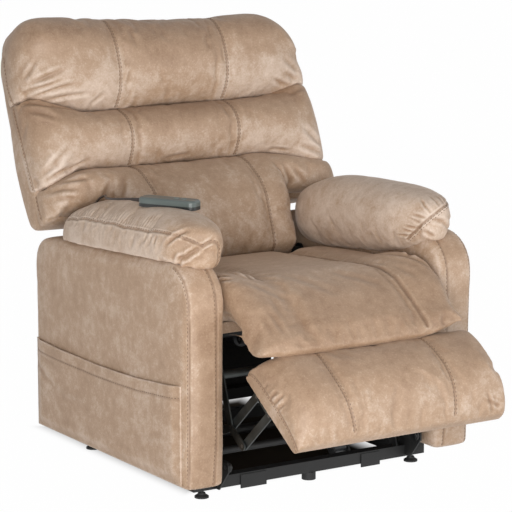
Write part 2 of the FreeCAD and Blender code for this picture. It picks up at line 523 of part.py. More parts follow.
def footrest():
    half = FOOT_HALF_WIDTH - 4
    add("footrest_board", outline_x([on_board(0, 0), on_board(BOARD_LENGTH, 0),
                                     on_board(BOARD_LENGTH, BOARD_THICKNESS), on_board(0, BOARD_THICKNESS)],
                                    -half, half))
    reach = BRACKET_FIRST + BRACKET_STEP
    deep = BRACKET_DEPTH + 11
    web = outline_x([on_board(BRACKET_FIRST - 22, 0), on_board(BRACKET_FIRST - 11, -BRACKET_DEPTH - 4),
                     on_board(BRACKET_FIRST - 4, -deep), on_board(reach + 4, -deep),
                     on_board(reach + 12, -BRACKET_DEPTH - 4), on_board(reach + 60, -4), on_board(reach + 66, 0)],
                    BRACKET_X, BRACKET_X + LINK_THICKNESS)
    flange = outline_x([on_board(BRACKET_FIRST - 22, 0), on_board(BRACKET_FIRST - 22, -3), on_board(reach + 66, -3),
                        on_board(reach + 66, 0)], BRACKET_X - 26, BRACKET_X + 1)
    web = web.fuse(flange)
    for point, clear in ((FIRST_PIN, RUN_CLEAR), (SECOND_PIN, OPEN_LINK_CLEAR)):
        web = web.cut(rod_x(point, LINK_PIN_RADIUS + clear, BRACKET_X - 1, BRACKET_X + LINK_THICKNESS + 1))
    add_pair("footrest_brackets", web.removeSplitter())
    base, edge = BOARD_THICKNESS + SEATED_GAP, FOOT_HALF_WIDTH
    sections = []
    for x, fill in ((-edge, 0.42), (-edge + 6, 0.66), (-edge + 18, 0.82), (-edge + 60, 0.93), (-SEAM_X + 10, 0.94),
                    (0, 1.0), (SEAM_X - 10, 0.94), (edge - 60, 0.93), (edge - 18, 0.82), (edge - 6, 0.66),
                    (edge, 0.42)):
        rise = FOOT_PAD_CROWN * fill
        nose = BOARD_LENGTH + 16 * fill
        outline = [on_board(4, base), on_board(20, base + 0.56 * rise), on_board(58, base + 0.95 * rise),
                   on_board(135, base + rise), on_board(200, base + 0.86 * rise),
                   on_board(nose, base + 0.42 * rise), on_board(BOARD_LENGTH + 2, base - 8)]
        p = [Vec(x, *place) for place in outline]
        corner = Vec(x, *on_board(BOARD_LENGTH + SEATED_GAP, base - 8))
        step = Vec(x, *on_board(BOARD_LENGTH + SEATED_GAP, base))
        sections.append(Part.Wire([arc(p[0], p[1], p[2]), arc(p[2], p[3], p[4]), arc(p[4], p[5], p[6]),
                                   line(p[6], corner), line(corner, step), line(step, p[0])]))
    add("footrest_pad", loft(sections))


def on_back(up, rear):
    return (BACK_ORIGIN[0] + up * sin(BACK_SLOPE) + rear * cos(BACK_SLOPE),
            BACK_ORIGIN[1] + up * cos(BACK_SLOPE) - rear * sin(BACK_SLOPE))


BACK_PIN = on_back(*BACK_PIN_PLACE)


def back_box(x0, x1, up0, up1, rear0, rear1):
    return outline_x([on_back(up0, rear0), on_back(up1, rear0), on_back(up1, rear1), on_back(up0, rear1)], x0, x1)


def pillow(low, crest, top, sections):
    # A roll of filling from the valley at low, over its crest, to the valley or edge at top, each (up, rear).
    # Each section is x, how full it is, and how far its ends draw in.
    rear = FRAME_FRONT - SEATED_GAP
    middle, reach = (low[0] + top[0]) / 2, (top[0] - low[0]) / 2
    rising = (low[0] + 0.3 * (crest[0] - low[0]), crest[1] + 0.38 * (low[1] - crest[1]))
    falling = (top[0] - 0.36 * (top[0] - crest[0]), crest[1] + 0.26 * (top[1] - crest[1]))
    wires = []
    for x, full, draw in sections:
        a, b, c, d, e = [Vec(x, *on_back(middle + (up - middle) * draw, VALLEY_DEPTH - (VALLEY_DEPTH - back) * full))
                         for up, back in (low, rising, crest, falling, top)]
        behind_top = Vec(x, *on_back(middle + reach * draw, rear))
        behind_low = Vec(x, *on_back(middle - reach * draw, rear))
        wires.append(Part.Wire([arc(a, b, c), arc(c, d, e), line(e, behind_top), line(behind_top, behind_low),
                                line(behind_low, a)]))
    return loft(wires).common(back_box(-BACK_HALF_WIDTH - 40, BACK_HALF_WIDTH + 40, low[0], top[0], -80, rear))


def across(steps):
    # Sections from one side to the other, from those of one half.
    return [(-x, full, draw) for x, full, draw in steps] + [(x, full, draw) for x, full, draw in steps[-2::-1]]


def pillows():
    half, narrow = BACK_HALF_WIDTH, LOWER_HALF_WIDTH
    head = across([(half - 20, 0.3, 0.66), (half - 27, 0.6, 0.78), (half - 40, 0.82, 0.88), (half - 76, 0.95, 0.97),
                   (SEAM_X, 0.96, 1), (0, 1, 1)])
    full = across([(half + 6, 0.35, 0.86), (half + 1, 0.62, 0.93), (half - 10, 0.8, 0.97), (half - 46, 0.93, 1),
                   (SEAM_X, 0.96, 1), (0, 1, 1)])
    wing = across([(half, 0.35, 0.86), (half - 5, 0.62, 0.93), (half - 16, 0.8, 0.97), (half - 60, 0.93, 1),
                   (SEAM_X, 0.96, 1), (0, 1, 1)])
    core = across([(narrow, 0.6, 0.98), (narrow - 14, 0.85, 1), (SEAM_X, 0.96, 1), (0, 1, 1)])
    add("head_pillow", pillow((VALLEY_ONE + 1, 66), (590, -26), (BACK_LENGTH - 2, 24), head))
    add("middle_pillow", pillow((VALLEY_TWO + 1, 70), (380, 3), (VALLEY_ONE - 1, 66), full))
    upper = pillow((WING_START, 104), (240, 4), (VALLEY_TWO - 1, 68), wing)
    lower = pillow((40, -12), (150, -42), (VALLEY_TWO - 1, 68), core)
    tuck = LOWER_HALF_WIDTH - 8
    foot = outline_x([on_back(-8, -4), on_back(41, -20), on_back(41, 64), on_back(-8, 64)], -tuck, tuck)
    add("lumbar_pillow", upper.fuse(lower).fuse(foot).removeSplitter())


def back_frame():
    front, rear = FRAME_FRONT, FRAME_FRONT + POST_DEPTH
    post = back_box(POST_X, POST_X + POST_WIDTH, 4, 600, front, rear)
    wing = back_box(POST_X + POST_WIDTH, 386, 196, 226, front, rear)
    rails = [back_box(-POST_X, POST_X, up, up + 40, front, rear) for up in (60, 330)]
    top_rail = back_box(-360, 360, 600, 640, front, rear)
    add("back_frame", post, mirrored(post), wing, mirrored(wing), top_rail, *rails)


def cover_outline(inset, rear):
    # The back's outline seen from behind, drawn in by an inset.
    low, high = WING_START + inset / 2, BACK_LENGTH - 3 - inset
    side, upper = BACK_HALF_WIDTH - 4 - inset, BACK_TOP_HALF_WIDTH - inset
    bend = (side + upper) / 2 + 10

    def at(x, up):
        return Vec(x, *on_back(up, rear))
    return Part.Wire([line(at(-side, low), at(side, low)), line(at(side, low), at(side - 16, high - 96)),
                      arc(at(side - 16, high - 96), at(bend, high - 30), at(upper, high)),
                      line(at(upper, high), at(-upper, high)),
                      arc(at(-upper, high), at(-bend, high - 30), at(-side + 16, high - 96)),
                      line(at(-side + 16, high - 96), at(-side, low))])


def back_cover():
    # A shallow tray over the back's frame, its rear face rounded off towards its edges.
    front = FRAME_FRONT + POST_DEPTH + SEATED_GAP
    shell = loft([cover_outline(0, FRAME_FRONT), cover_outline(3, FRAME_FRONT + 28),
                  cover_outline(16, BACK_DEPTH - 14),
                  cover_outline(46, BACK_DEPTH)])
    frame_room = loft([cover_outline(SIDE_STRIP, FRAME_FRONT - 5), cover_outline(SIDE_STRIP, front)])
    flap = back_box(-POST_X, POST_X, 64, WING_START + 20, front, front + 14)
    shell = shell.cut(frame_room).fuse(flap)
    for x in (-POST_X - POST_WIDTH, POST_X):
        shell = shell.cut(back_box(x - SEATED_GAP, x + POST_WIDTH + SEATED_GAP, 0, WING_START + 40,
                                   FRAME_FRONT - 1, front))
    add("back_cover", shell.removeSplitter())


def back_hinge():
    hinge_x = POST_X + POST_WIDTH
    eye = BACK_TUBE_RADIUS + 8
    up, rear = BACK_PIN_PLACE
    plate = outline_x([on_back(up - eye * 0.7, rear - eye * 0.7), on_back(up + eye, rear - eye * 0.5),
                       on_back(up + 90, FRAME_FRONT), on_back(up + 120, FRAME_FRONT),
                       on_back(up + 120, FRAME_FRONT + POST_DEPTH), on_back(6, FRAME_FRONT + POST_DEPTH),
                       on_back(4, FRAME_FRONT), on_back(up - eye, rear + eye * 0.5)],
                      hinge_x, hinge_x + EAR_THICKNESS)
    hinge_hole = rod_x(BACK_PIN, BACK_TUBE_RADIUS, hinge_x - 1, hinge_x + EAR_THICKNESS + 1)
    add_pair("back_brackets", plate.cut(hinge_hole))
    add("back_hinge_tube", tube_x(BACK_PIN, BACK_TUBE_RADIUS, 2.0, PLATE_X + LINK_THICKNESS + 4))
    ears = [link_x([BACK_PIN, RECLINE_ROD_PIN], 26.0, x0, EAR_THICKNESS,
                   [(BACK_PIN, BACK_TUBE_RADIUS), (RECLINE_ROD_PIN, LINK_PIN_RADIUS)])
            for x0 in (RECLINE_ACTUATOR_X - ACTUATOR_FORK - EAR_THICKNESS, RECLINE_ACTUATOR_X + ACTUATOR_FORK)]
    pin = rod_x(RECLINE_ROD_PIN, LINK_PIN_RADIUS, RECLINE_ACTUATOR_X - ACTUATOR_FORK - EAR_THICKNESS,
                RECLINE_ACTUATOR_X + ACTUATOR_FORK + EAR_THICKNESS)
    add("recline_lever", *(ears + [pin]))


def actuator(name, x, start, end, eye_bore, draws_in):
    # A motor and its tube hinged at start, and a rod whose eye goes round what it drives at end.
    length = math.hypot(end[0] - start[0], end[1] - start[1])
    axis = Vec(0, (end[0] - start[0]) / length, (end[1] - start[1]) / length)
    origin, side = Vec(x, start[0], start[1]), Vec(1, 0, 0)
    rod_radius, bore_start = 10.0, 28.0
    rod_start = bore_start + 4 + draws_in
    tube_end = length - eye_bore - 16.0 - draws_in
    body = Part.makeCylinder(17.0, tube_end - 8, origin + axis * 8, axis)
    body = body.fuse(Part.makeCylinder(12.0, 2 * ACTUATOR_FORK - 2, origin - side * (ACTUATOR_FORK - 1), side))
    body = body.fuse(Part.makeCylinder(27.0, 44.0, origin + axis * 24, axis))
    body = body.fuse(Part.makeCylinder(24.0, 86.0, origin + axis * 46 + side * 24, side))
    body = body.cut(Part.makeCylinder(ACTUATOR_PIN_RADIUS + RUN_CLEAR, 60.0, origin - side * 30, side))
    body = body.cut(Part.makeCylinder(rod_radius + RUN_CLEAR, length, origin + axis * bore_start, axis))
    add(name + "_motor", body.removeSplitter())
    rod = Part.makeCylinder(rod_radius, length - rod_start - eye_bore - 3, origin + axis * rod_start, axis)
    finish = Vec(x, end[0], end[1])
    rod = rod.fuse(Part.makeCylinder(eye_bore + 7.0, 28.0, finish - side * 14, side))
    rod = rod.cut(Part.makeCylinder(eye_bore, 40.0, finish - side * 20, side))
    add(name + "_rod", rod.removeSplitter())


def actuators():
    actuator("lift", LIFT_ACTUATOR_X, LIFT_MOTOR_PIN, LIFT_ROD_PIN, CROSS_RADIUS + LIFT_ROD_CLEAR, 0)
    actuator("recline", RECLINE_ACTUATOR_X, RECLINE_MOTOR_PIN, RECLINE_ROD_PIN, LINK_PIN_RADIUS + RECLINE_ROD_CLEAR,
             RECLINE_ROD_TRAVEL)
    add("recline_motor_clevis",
        *[link_x([LIFT_ROD_PIN, RECLINE_MOTOR_PIN], 24.0, x0, EAR_THICKNESS,
                 [(LIFT_ROD_PIN, CROSS_RADIUS), (RECLINE_MOTOR_PIN, ACTUATOR_PIN_RADIUS)])
          for x0 in (RECLINE_ACTUATOR_X - ACTUATOR_FORK - EAR_THICKNESS, RECLINE_ACTUATOR_X + ACTUATOR_FORK)])


def rear_skirt_and_control():
    add("rear_skirt", box(-INNER_X + SEATED_GAP, INNER_X - SEATED_GAP, ARM_DEPTH - 7, ARM_DEPTH - 1, 60, 512))
    x0, x1, y0, y1, height = CONTROL_BOX
    top = SEAT_BASE - SEAT_FRAME_HEIGHT
    body = box(x0, x1, y0, y1, top - height, top)
    add("control_box", body.makeFillet(5.0, [edge for edge in body.Edges if edge.BoundBox.ZLength > 1]))


def on_handset(shape):
    shape = shape.copy()
    shape.rotate(Vec(0, 0, 0), Vec(0, 0, 1), HANDSET_YAW)
    shape.translate(Vec(HANDSET_CENTRE[0], HANDSET_CENTRE[1], HANDSET_Z))
    return shape


def handset():
    half_l, half_w, height = HANDSET_LENGTH / 2, HANDSET_WIDTH / 2, HANDSET_HEIGHT
    shell = box(-half_w, half_w, -half_l, half_l, 0, height)
    shell = shell.makeFillet(half_w * 0.7, [edge for edge in shell.Edges if edge.BoundBox.ZLength > 1])
    rim = [edge for edge in shell.Edges if edge.BoundBox.ZLength < 0.1 and edge.BoundBox.ZMin > height - 1]
    shell = shell.makeFillet(0.3 * height, rim)
    split = 0.38 * height
    lower = shell.common(box(-half_w, half_w, -half_l, half_l, -1, split))
    upper = shell.common(box(-half_w, half_w, -half_l, half_l, split, height + 1))
    deep = 6.0
    for name, y in (("raise_button", -BUTTON_SPACING), ("lower_button", -2 * BUTTON_SPACING)):
        upper = upper.cut(Part.makeCylinder(BUTTON_RADIUS + BUTTON_GAP, deep + 1, Vec(0, y, height - deep)))
        button = Part.makeCylinder(BUTTON_RADIUS, deep, Vec(0, y, height - deep + BUTTON_TRAVEL + BUTTON_GAP))
        add(name, on_handset(button))
    add("handset_upper_shell", on_handset(upper))
    add("handset_lower_shell", on_handset(lower))
    middle = 0.5 * height
    relief = Part.makeCone(5.5, CORD_RADIUS + 1, RELIEF_LENGTH, Vec(0, half_l, middle), Vec(0, 1, 0))
    add("cord_strain_relief", on_handset(relief))
    return on_handset(Part.Vertex(0, half_l + RELIEF_LENGTH, middle)).Point


def cord(start):
    # The cord goes over the pad's crest, round its rear end and down into the gland on the arm.
    heading = Vec(-sin(HANDSET_YAW), cos(HANDSET_YAW), 0)
    gland_y = PAD_FRONT + PAD_LENGTH + 12
    fall = (gland_y - ARM_FRONT_RADIUS) / (ARM_DEPTH - ARM_REAR_RADIUS - ARM_FRONT_RADIUS)
    gland_z = ARM_HEIGHT - ARM_REAR_DROP * fall
    points = [start, start + heading * 22 + Vec(0, 0, -1), Vec(-400, 384, 716), Vec(-397, 428, 711),
              Vec(-376, 470, 708), Vec(-354, 508, 703), Vec(-345, 545, 694), Vec(-343, 576, 676),
              Vec(-344, 598, 652), Vec(-345, 608, 625), Vec(-345, gland_y, gland_z + 12)]
    edges, last, turns = [], points[0], []
    for before, here, after in zip(points, points[1:], points[2:]):
        a, b = before - here, after - here
        cut = 0.45 * min(a.Length, b.Length)
        a.normalize()
        b.normalize()
        turn = math.pi - a.getAngle(b)
        radius = cut / math.tan(turn / 2)
        turns.append((round(radius, 1), round(math.degrees(turn), 1)))
        middle = a + b
        middle.normalize()
        first, second = here + a * cut, here + b * cut
        edges.append(line(last, first))
        edges.append(arc(first, here + middle * (radius / math.cos(turn / 2) - radius), second))
        last = second
    edges.append(line(last, points[-1]))
    path = Part.Wire(edges)
    ring = Part.Wire([Part.makeCircle(CORD_RADIUS, points[0], points[1] - points[0])])
    tube = path.makePipeShell([ring], True, False)
    ratio = tube.Volume / (math.pi * CORD_RADIUS ** 2 * path.Length)
    print("cord length %.1f, volume over section times length %.4f" % (path.Length, ratio))
    print("cord radii and turns", turns)
    add("handset_cord", tube)
    end, way = points[-1], points[-1] - points[-2]
    way.normalize()
    gland = Part.makeCylinder(6.5, 14.0, end, way)
    gland = gland.fuse(Part.makeCylinder(9.0, 3.0, end + way * 9, way))
    add("cord_gland", gland.cut(mirrored(arm_outline(INNER_X, OUTER_X))))


base_frame()
lift_brackets()
feet()
lift_links()
lift_frame()
mechanism_plates()
arms()
side_pocket()
seat()
chaise()
footrest_linkage()
footrest()
pillows()
back_frame()
back_cover()
back_hinge()
actuators()
rear_skirt_and_control()
cord(handset())

whole = Part.makeCompound(list(parts.values())).optimalBoundingBox(False, False)
shift = -(whole.YMin + whole.YMax) / 2
os.makedirs("parts", exist_ok=True)
for name, shape in parts.items():
    placed = shape.copy()
    placed.translate(Vec(0, shift, 0))
    if not placed.Solids or not all(solid.isValid() for solid in placed.Solids):
        print("check the solids of", name)
    placed.exportStep("parts/%s.step" % name)
print("%d nodes, X %.1f Y %.1f Z %.1f" % (len(parts), whole.XLength, whole.YLength, whole.ZMax))
print("moved along Y by %.4f" % shift)
for label, point in (("first", FIRST_PIN), ("second", SECOND_PIN), ("cross", CROSS_PIN), ("lower", LOWER_PIN),
                     ("tail", TAIL_PIN), ("rear swing", REAR_SWING_PIN), ("back", BACK_PIN)):
    print("%s pin y %.3f z %.3f" % (label, point[0], point[1]))
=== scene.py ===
"""The upholstery, mechanism finishes and studio of a lift recliner chair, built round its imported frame."""

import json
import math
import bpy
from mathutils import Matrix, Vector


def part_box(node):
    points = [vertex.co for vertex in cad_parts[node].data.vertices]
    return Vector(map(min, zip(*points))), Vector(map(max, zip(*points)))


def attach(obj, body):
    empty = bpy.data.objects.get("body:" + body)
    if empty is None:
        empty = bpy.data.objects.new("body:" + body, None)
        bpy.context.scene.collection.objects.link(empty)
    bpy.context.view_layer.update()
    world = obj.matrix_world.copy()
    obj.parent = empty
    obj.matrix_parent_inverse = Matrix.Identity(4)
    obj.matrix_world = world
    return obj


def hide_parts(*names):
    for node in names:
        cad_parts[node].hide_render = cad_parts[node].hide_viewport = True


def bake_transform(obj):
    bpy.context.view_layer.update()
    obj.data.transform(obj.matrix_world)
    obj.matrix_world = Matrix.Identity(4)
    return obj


bl_info = {
    "name": "Lift recliner chair",
    "version": (1, 0, 0),
    "blender": (4, 5, 0),
    "location": "3D View > Sidebar > Chair",
    "description": "Upholsters a lift recliner chair and finishes its linkage and hand control",
    "category": "Object",
}

from functools import partial

import bmesh
import bpy
import numpy as np
from bpy.props import FloatProperty, FloatVectorProperty, IntProperty, PointerProperty, StringProperty
from mathutils import Vector
from mathutils.bvhtree import BVHTree
from mathutils.kdtree import KDTree

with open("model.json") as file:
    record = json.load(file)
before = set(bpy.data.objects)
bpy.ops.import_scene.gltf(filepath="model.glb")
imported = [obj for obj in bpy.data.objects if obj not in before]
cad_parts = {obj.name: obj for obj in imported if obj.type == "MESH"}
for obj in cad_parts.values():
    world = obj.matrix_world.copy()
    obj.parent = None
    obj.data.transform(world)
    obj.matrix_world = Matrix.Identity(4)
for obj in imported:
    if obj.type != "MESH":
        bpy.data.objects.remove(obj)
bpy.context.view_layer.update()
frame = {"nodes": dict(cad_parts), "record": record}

# Everything is laid out in millimetres from the front face of the arms, on the floor, in the chair's middle.
ARM_LOW, ARM_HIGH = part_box("arm_panel_left")
ARM_FRONT = ARM_LOW.y
INNER_X = 1000 * ARM_LOW.x
OUTER_X = 1000 * ARM_HIGH.x
SEAM_X = 165.0
BACK_SLOPE = math.radians(27.0)
BACK_ORIGIN = (520.0, 500.0)
BOARD_SLOPE = math.radians(33.3)
BOARD_TOP = (-75.0, 335.0)


# Small tools

def place(points):
    """Layout points in millimetres as points of the frame in metres."""
    return np.asarray(points, float) / 1000 + np.array([0, ARM_FRONT, 0])


def on_back(x, up, rear):
    """A point of the backrest: across, up along it, and rearward through it."""
    return (x, BACK_ORIGIN[0] + up * math.sin(BACK_SLOPE) + rear * math.cos(BACK_SLOPE),
            BACK_ORIGIN[1] + up * math.cos(BACK_SLOPE) - rear * math.sin(BACK_SLOPE))


def on_board(x, along, out):
    """A point of the footrest: across, down along its board, and out from it."""
    return (x, BOARD_TOP[0] - along * math.cos(BOARD_SLOPE) - out * math.sin(BOARD_SLOPE),
            BOARD_TOP[1] - along * math.sin(BOARD_SLOPE) + out * math.cos(BOARD_SLOPE))


def run_along(path):
    """How far along a path each of its points lies."""
    return np.concatenate([[0], np.cumsum(np.linalg.norm(np.diff(path, axis=0), axis=1))])


def spaced(path, count):
    """A number of points evenly spaced along a path."""
    run = run_along(path)
    stops = np.linspace(0, run[-1], count)
    return np.column_stack([np.interp(stops, run, path[:, i]) for i in range(path.shape[1])])


def even(path, step=0.003):
    """Points spaced along a path in metres, a step apart."""
    return spaced(path, max(3, int(run_along(path)[-1] / step)))


def through(points, count):
    """Points evenly spaced along a smooth curve that passes through the given ones."""
    p = np.asarray(points, float)
    q = np.vstack([2 * p[:1] - p[1:2], p, 2 * p[-1:] - p[-2:-1]])
    t = np.linspace(0, 1, 12, endpoint=False)[:, None]
    spans = []
    for a, b, c, d in zip(q, q[1:], q[2:], q[3:]):
        spans.append(0.5 * (2 * b + (c - a) * t + (2 * a - 5 * b + 4 * c - d) * t ** 2
                            + (3 * b - a - 3 * c + d) * t ** 3))
    return spaced(np.vstack(spans + [p[-1:]]), count)


def ease(value, low, high):
    """0 below low, 1 above high, and smooth between them."""
    t = np.clip((np.asarray(value, float) - low) / (high - low), 0, 1)
    return t * t * (3 - 2 * t)


def new_object(name, verts, faces):
    """A mesh object in the scene, at the origin."""
    mesh = bpy.data.meshes.new(name)
    mesh.from_pydata([tuple(v) for v in verts], [], faces)
    mesh.validate()
    mesh.update()
    piece = bpy.data.objects.new(name, mesh)
    bpy.context.scene.collection.objects.link(piece)
    return piece


def skin(name, rings):
    """A closed mesh through rings of layout points, with a fan over each end."""
    rings = [place(ring) for ring in rings]
    count = len(rings[0])
    verts = np.vstack(rings + [rings[0].mean(0)[None], rings[-1].mean(0)[None]])
    faces = []
    for r in range(len(rings) - 1):
        for i in range(count):
            j = (i + 1) % count
            faces.append((r * count + i, r * count + j, (r + 1) * count + j, (r + 1) * count + i))
    first, last, top = len(verts) - 2, len(verts) - 1, (len(rings) - 1) * count
    for i in range(count):
        j = (i + 1) % count
        faces.append((first, j, i))
        faces.append((last, top + i, top + j))
    piece = new_object(name, verts, faces)
    make_outward(piece)
    return piece


def make_outward(piece):
    """Merges doubles and turns every face of a closed mesh outwards."""
    bm = bmesh.new()
    bm.from_mesh(piece.data)
    bmesh.ops.remove_doubles(bm, verts=bm.verts, dist=1e-6)
    bmesh.ops.recalc_face_normals(bm, faces=bm.faces)
    if bm.calc_volume(signed=True) < 0:
        bmesh.ops.reverse_faces(bm, faces=bm.faces)
    bm.to_mesh(piece.data)
    bm.free()
    piece.data.update()


def points_of(piece):
    """The piece's points in metres."""
    co = np.empty(len(piece.data.vertices) * 3)
    piece.data.vertices.foreach_get("co", co)
    return co.reshape(-1, 3)


def layout_of(piece):
    """The piece's points in layout millimetres."""
    return (points_of(piece) - np.array([0, ARM_FRONT, 0])) * 1000


def set_points(piece, co):
    """Puts the piece's points at the given places, in metres."""
    piece.data.vertices.foreach_set("co", co.astype(np.float32).ravel())
    piece.data.update()


def normals_of(piece):
    """The way out of the piece at each point."""
    out = np.empty(len(piece.data.vertices) * 3)
    piece.data.vertex_normals.foreach_get("vector", out)
    return out.reshape(-1, 3)


def bake_modifiers(piece):
    """The piece's evaluated mesh becomes its own, and its modifiers go."""
    evaluated = piece.evaluated_get(bpy.context.evaluated_depsgraph_get())
    mesh = bpy.data.meshes.new_from_object(evaluated)
    mesh.name = piece.name
    piece.modifiers.clear()
    piece.data = mesh
    return piece


def remesh(piece, voxel):
    """An even mesh of small squares in place of the piece's own."""
    modifier = piece.modifiers.new("remesh", "REMESH")
    modifier.mode = "VOXEL"
    modifier.voxel_size = voxel
    modifier.use_smooth_shade = True
    bake_modifiers(piece)


def relax(piece, rounds, share=0.5):
    """Evens a mesh out by moving each point towards the middle of its neighbours."""
    co = points_of(piece)
    edges = np.empty(len(piece.data.edges) * 2, np.int64)
    piece.data.edges.foreach_get("vertices", edges)
    a, b = edges.reshape(-1, 2).T
    here, there = np.concatenate([a, b]), np.concatenate([b, a])
    count = np.maximum(np.bincount(here, minlength=len(co)), 1)
    for _ in range(rounds):
        middle = np.column_stack([np.bincount(here, co[there, i], len(co)) / count for i in range(3)])
        co = co + share * (middle - co)
    return co


CLOTH_FRAMES = 20


def inflate(piece, held, pressure, slack, cap):
    """Blows a closed cloth skin up from its rest shape. held is how firmly each point stays, 0 to 1."""
    rest = points_of(piece)
    group = piece.vertex_groups.new(name="held")
    for level in np.unique(np.round(held, 1)):
        if level > 0:
            group.add([int(i) for i in np.flatnonzero(np.round(held, 1) == level)], float(level), "REPLACE")
    cloth = piece.modifiers.new("cloth", "CLOTH")
    for name, value in {"quality": 4, "mass": 0.35, "tension_stiffness": 12, "compression_stiffness": 12,
                        "shear_stiffness": 6, "bending_stiffness": 0.6, "use_pressure": True,
                        "uniform_pressure_force": pressure, "shrink_min": -slack, "vertex_group_mass": "held",
                        "pin_stiffness": 1.0}.items():
        setattr(cloth.settings, name, value)
    cloth.settings.effector_weights.gravity = 0
    cloth.collision_settings.use_collision = False
    cloth.collision_settings.use_self_collision = False
    scene = bpy.context.scene
    for number in range(1, CLOTH_FRAMES + 1):
        scene.frame_set(number)
    bake_modifiers(piece)
    scene.frame_set(1)
    moved = points_of(piece) - rest
    length = np.linalg.norm(moved, axis=1, keepdims=True)
    soft = np.where(length > cap / 2, cap / 2 + cap / 2 * np.tanh((length - cap / 2) / (cap / 2)), length)
    set_points(piece, rest + moved * soft / np.maximum(length, 1e-9))
    piece.vertex_groups.clear()


def subdivide(piece):
    """Rounds a mesh by dividing every face in four."""
    modifier = piece.modifiers.new("smooth", "SUBSURF")
    modifier.levels = modifier.render_levels = 1
    bake_modifiers(piece)


def cushion(name, rings, voxel=0.006, held=None, pressure=4.0, slack=0.02, cap=0.012):
    """A cloth cushion from rings of its slack shape. held(points in mm) says how firmly points stay."""
    piece = skin(name, rings)
    soften(piece, voxel, held, pressure, slack, cap)
    return piece


def soften(piece, voxel, held, pressure, slack, cap):
    """An even cloth mesh in place of the piece's own, blown up a little."""
    remesh(piece, voxel)
    set_points(piece, relax(piece, 3))
    layout = layout_of(piece)
    inflate(piece, held(layout) if held else np.zeros(len(layout)), pressure, slack, cap)
    set_points(piece, relax(piece, 1, 0.3))
    subdivide(piece)


# Seams, stitches and folds

SEAM_STEP = 0.004  # from one point of a seam to the next, in metres
CAST_FROM = 0.4  # how far off a line is cast onto the cloth, in metres
SEAM_ROWS = []


class Tailor:
    """Draws seams and folds into a soft piece, and keeps the rows where its stitches lie."""

    def __init__(self, piece):
        self.piece = piece
        self.points = points_of(piece)
        self.normals = normals_of(piece)
        self.seam = np.zeros(len(self.points))
        self.rows = []
        self.tree = self.surface()

    def surface(self):
        """The cloth as it is now, to be searched for its nearest places."""
        bpy.context.view_layer.update()
        return BVHTree.FromObject(self.piece, bpy.context.evaluated_depsgraph_get())

    def laid(self, points):
        """Layout points moved to the nearest place of the cloth, in metres."""
        return np.array([self.tree.find_nearest(Vector(p))[0] for p in place(points)])

    def cast(self, points, way):
        """Where lines through layout points first meet the cloth, seen from the side that way points to."""
        way = Vector(way).normalized()
        hits = [self.tree.ray_cast(Vector(p) + way * CAST_FROM, -way)[0] for p in place(points)]
        return np.array([hit for hit in hits if hit is not None])

    def press(self, spots, depth, width, ridge=0.0, taper=False, shade=1.0):
        """Draws the cloth in along a path, with raised lips beside it, and paints shade into its colour there. Sizes
        are in mm.
        """
        depth, width = depth / 1000, width / 1000
        near = np.all((self.points > spots.min(0) - 4 * width) & (self.points < spots.max(0) + 4 * width), axis=1)
        index = np.flatnonzero(near)
        tree = KDTree(len(spots))
        for i, spot in enumerate(spots):
            tree.insert(spot, i)
        tree.balance()
        found = [tree.find(self.points[i]) for i in index]
        gap = np.array([f[2] for f in found])
        share = np.array([f[1] for f in found]) / max(len(spots) - 1, 1)
        strength = np.sin(np.pi * np.clip(share, 0.02, 0.98)) ** 0.7 if taper else np.ones(len(share))
        dip = np.exp(-(gap / width) ** 2) - ridge * np.exp(-((gap - 2 * width) / width) ** 2)
        self.points[index] -= self.normals[index] * (depth * strength * dip)[:, None]
        self.seam[index] = np.maximum(self.seam[index], shade * strength * np.exp(-(gap / (1.1 * width)) ** 2))

    def fold(self, start, end, depth=6.0, width=7.0, bow=0.0):
        """A soft fold from one layout point to another, bowed sideways by a share of its length, in mm."""
        start, end = np.array(start, float), np.array(end, float)
        length = np.linalg.norm(end - start)
        side = np.cross(end - start, np.array(self.tree.find_nearest(Vector(place(start)))[1]))
        side /= max(np.linalg.norm(side), 1e-6)
        points = [start + (end - start) * t + side * bow * length * math.sin(math.pi * t)
                  for t in np.linspace(0, 1, 12)]
        self.press(even(self.laid(points)), depth, width, 0.55, taper=True, shade=0.35)

    def crease(self, start, end, way, depth, width, ridge, shade):
        """A fold along a straight line between two layout points, cast onto the cloth from the side of way."""
        start, end = np.array(start, float), np.array(end, float)
        spots = self.cast([start + (end - start) * t for t in np.linspace(0, 1, 14)], way)
        self.press(even(spots), depth, width, ridge, taper=True, shade=shade)

    def sew(self, spots, depth=2.2, width=2.6, rows=(-4.0, 4.0), ridge=0.3):
        """A sewn seam along a path, with a row of stitches at each offset from it, in mm."""
        path = even(spots, SEAM_STEP)
        self.press(path, depth, width, ridge)
        for offset in rows:
            row = []
            for here, before, beyond in zip(path[1:-1], path, path[2:]):
                normal = self.tree.find_nearest(Vector(here))[1]
                row.append(Vector(here) + normal.cross(Vector(beyond - before)).normalized() * offset / 1000)
            self.rows.append(row)

    def done(self):
        """Gives the piece its pressed cloth and its painted shade along seams and folds, and lays the stitch rows on
        it.
        """
        set_points(self.piece, self.points)
        attribute = self.piece.data.attributes.new("seam", "FLOAT", "POINT")
        attribute.data.foreach_set("value", self.seam.astype(np.float32))
        tree = self.surface()
        for row in self.rows:
            SEAM_ROWS.append((self.piece.name, np.array([tree.find_nearest(spot)[0] for spot in row])))


def mark_wear_and_painted_light(piece, painted_light=0.0):
    """Marks crests above 0, paler for rubbed nap and for painted highlight, and hollows below 0 as painted shade. The
    last argument adds painted light above 0 and painted shade below it.
    """
    smooth = relax(piece, 12)
    out = np.einsum("ij,ij->i", points_of(piece) - smooth, normals_of(piece))
    attribute = piece.data.attributes.new("wear_and_painted_light", "FLOAT", "POINT")
    attribute.data.foreach_set("value", (np.clip(out / 0.004, -0.5, 0.5) + painted_light).astype(np.float32))


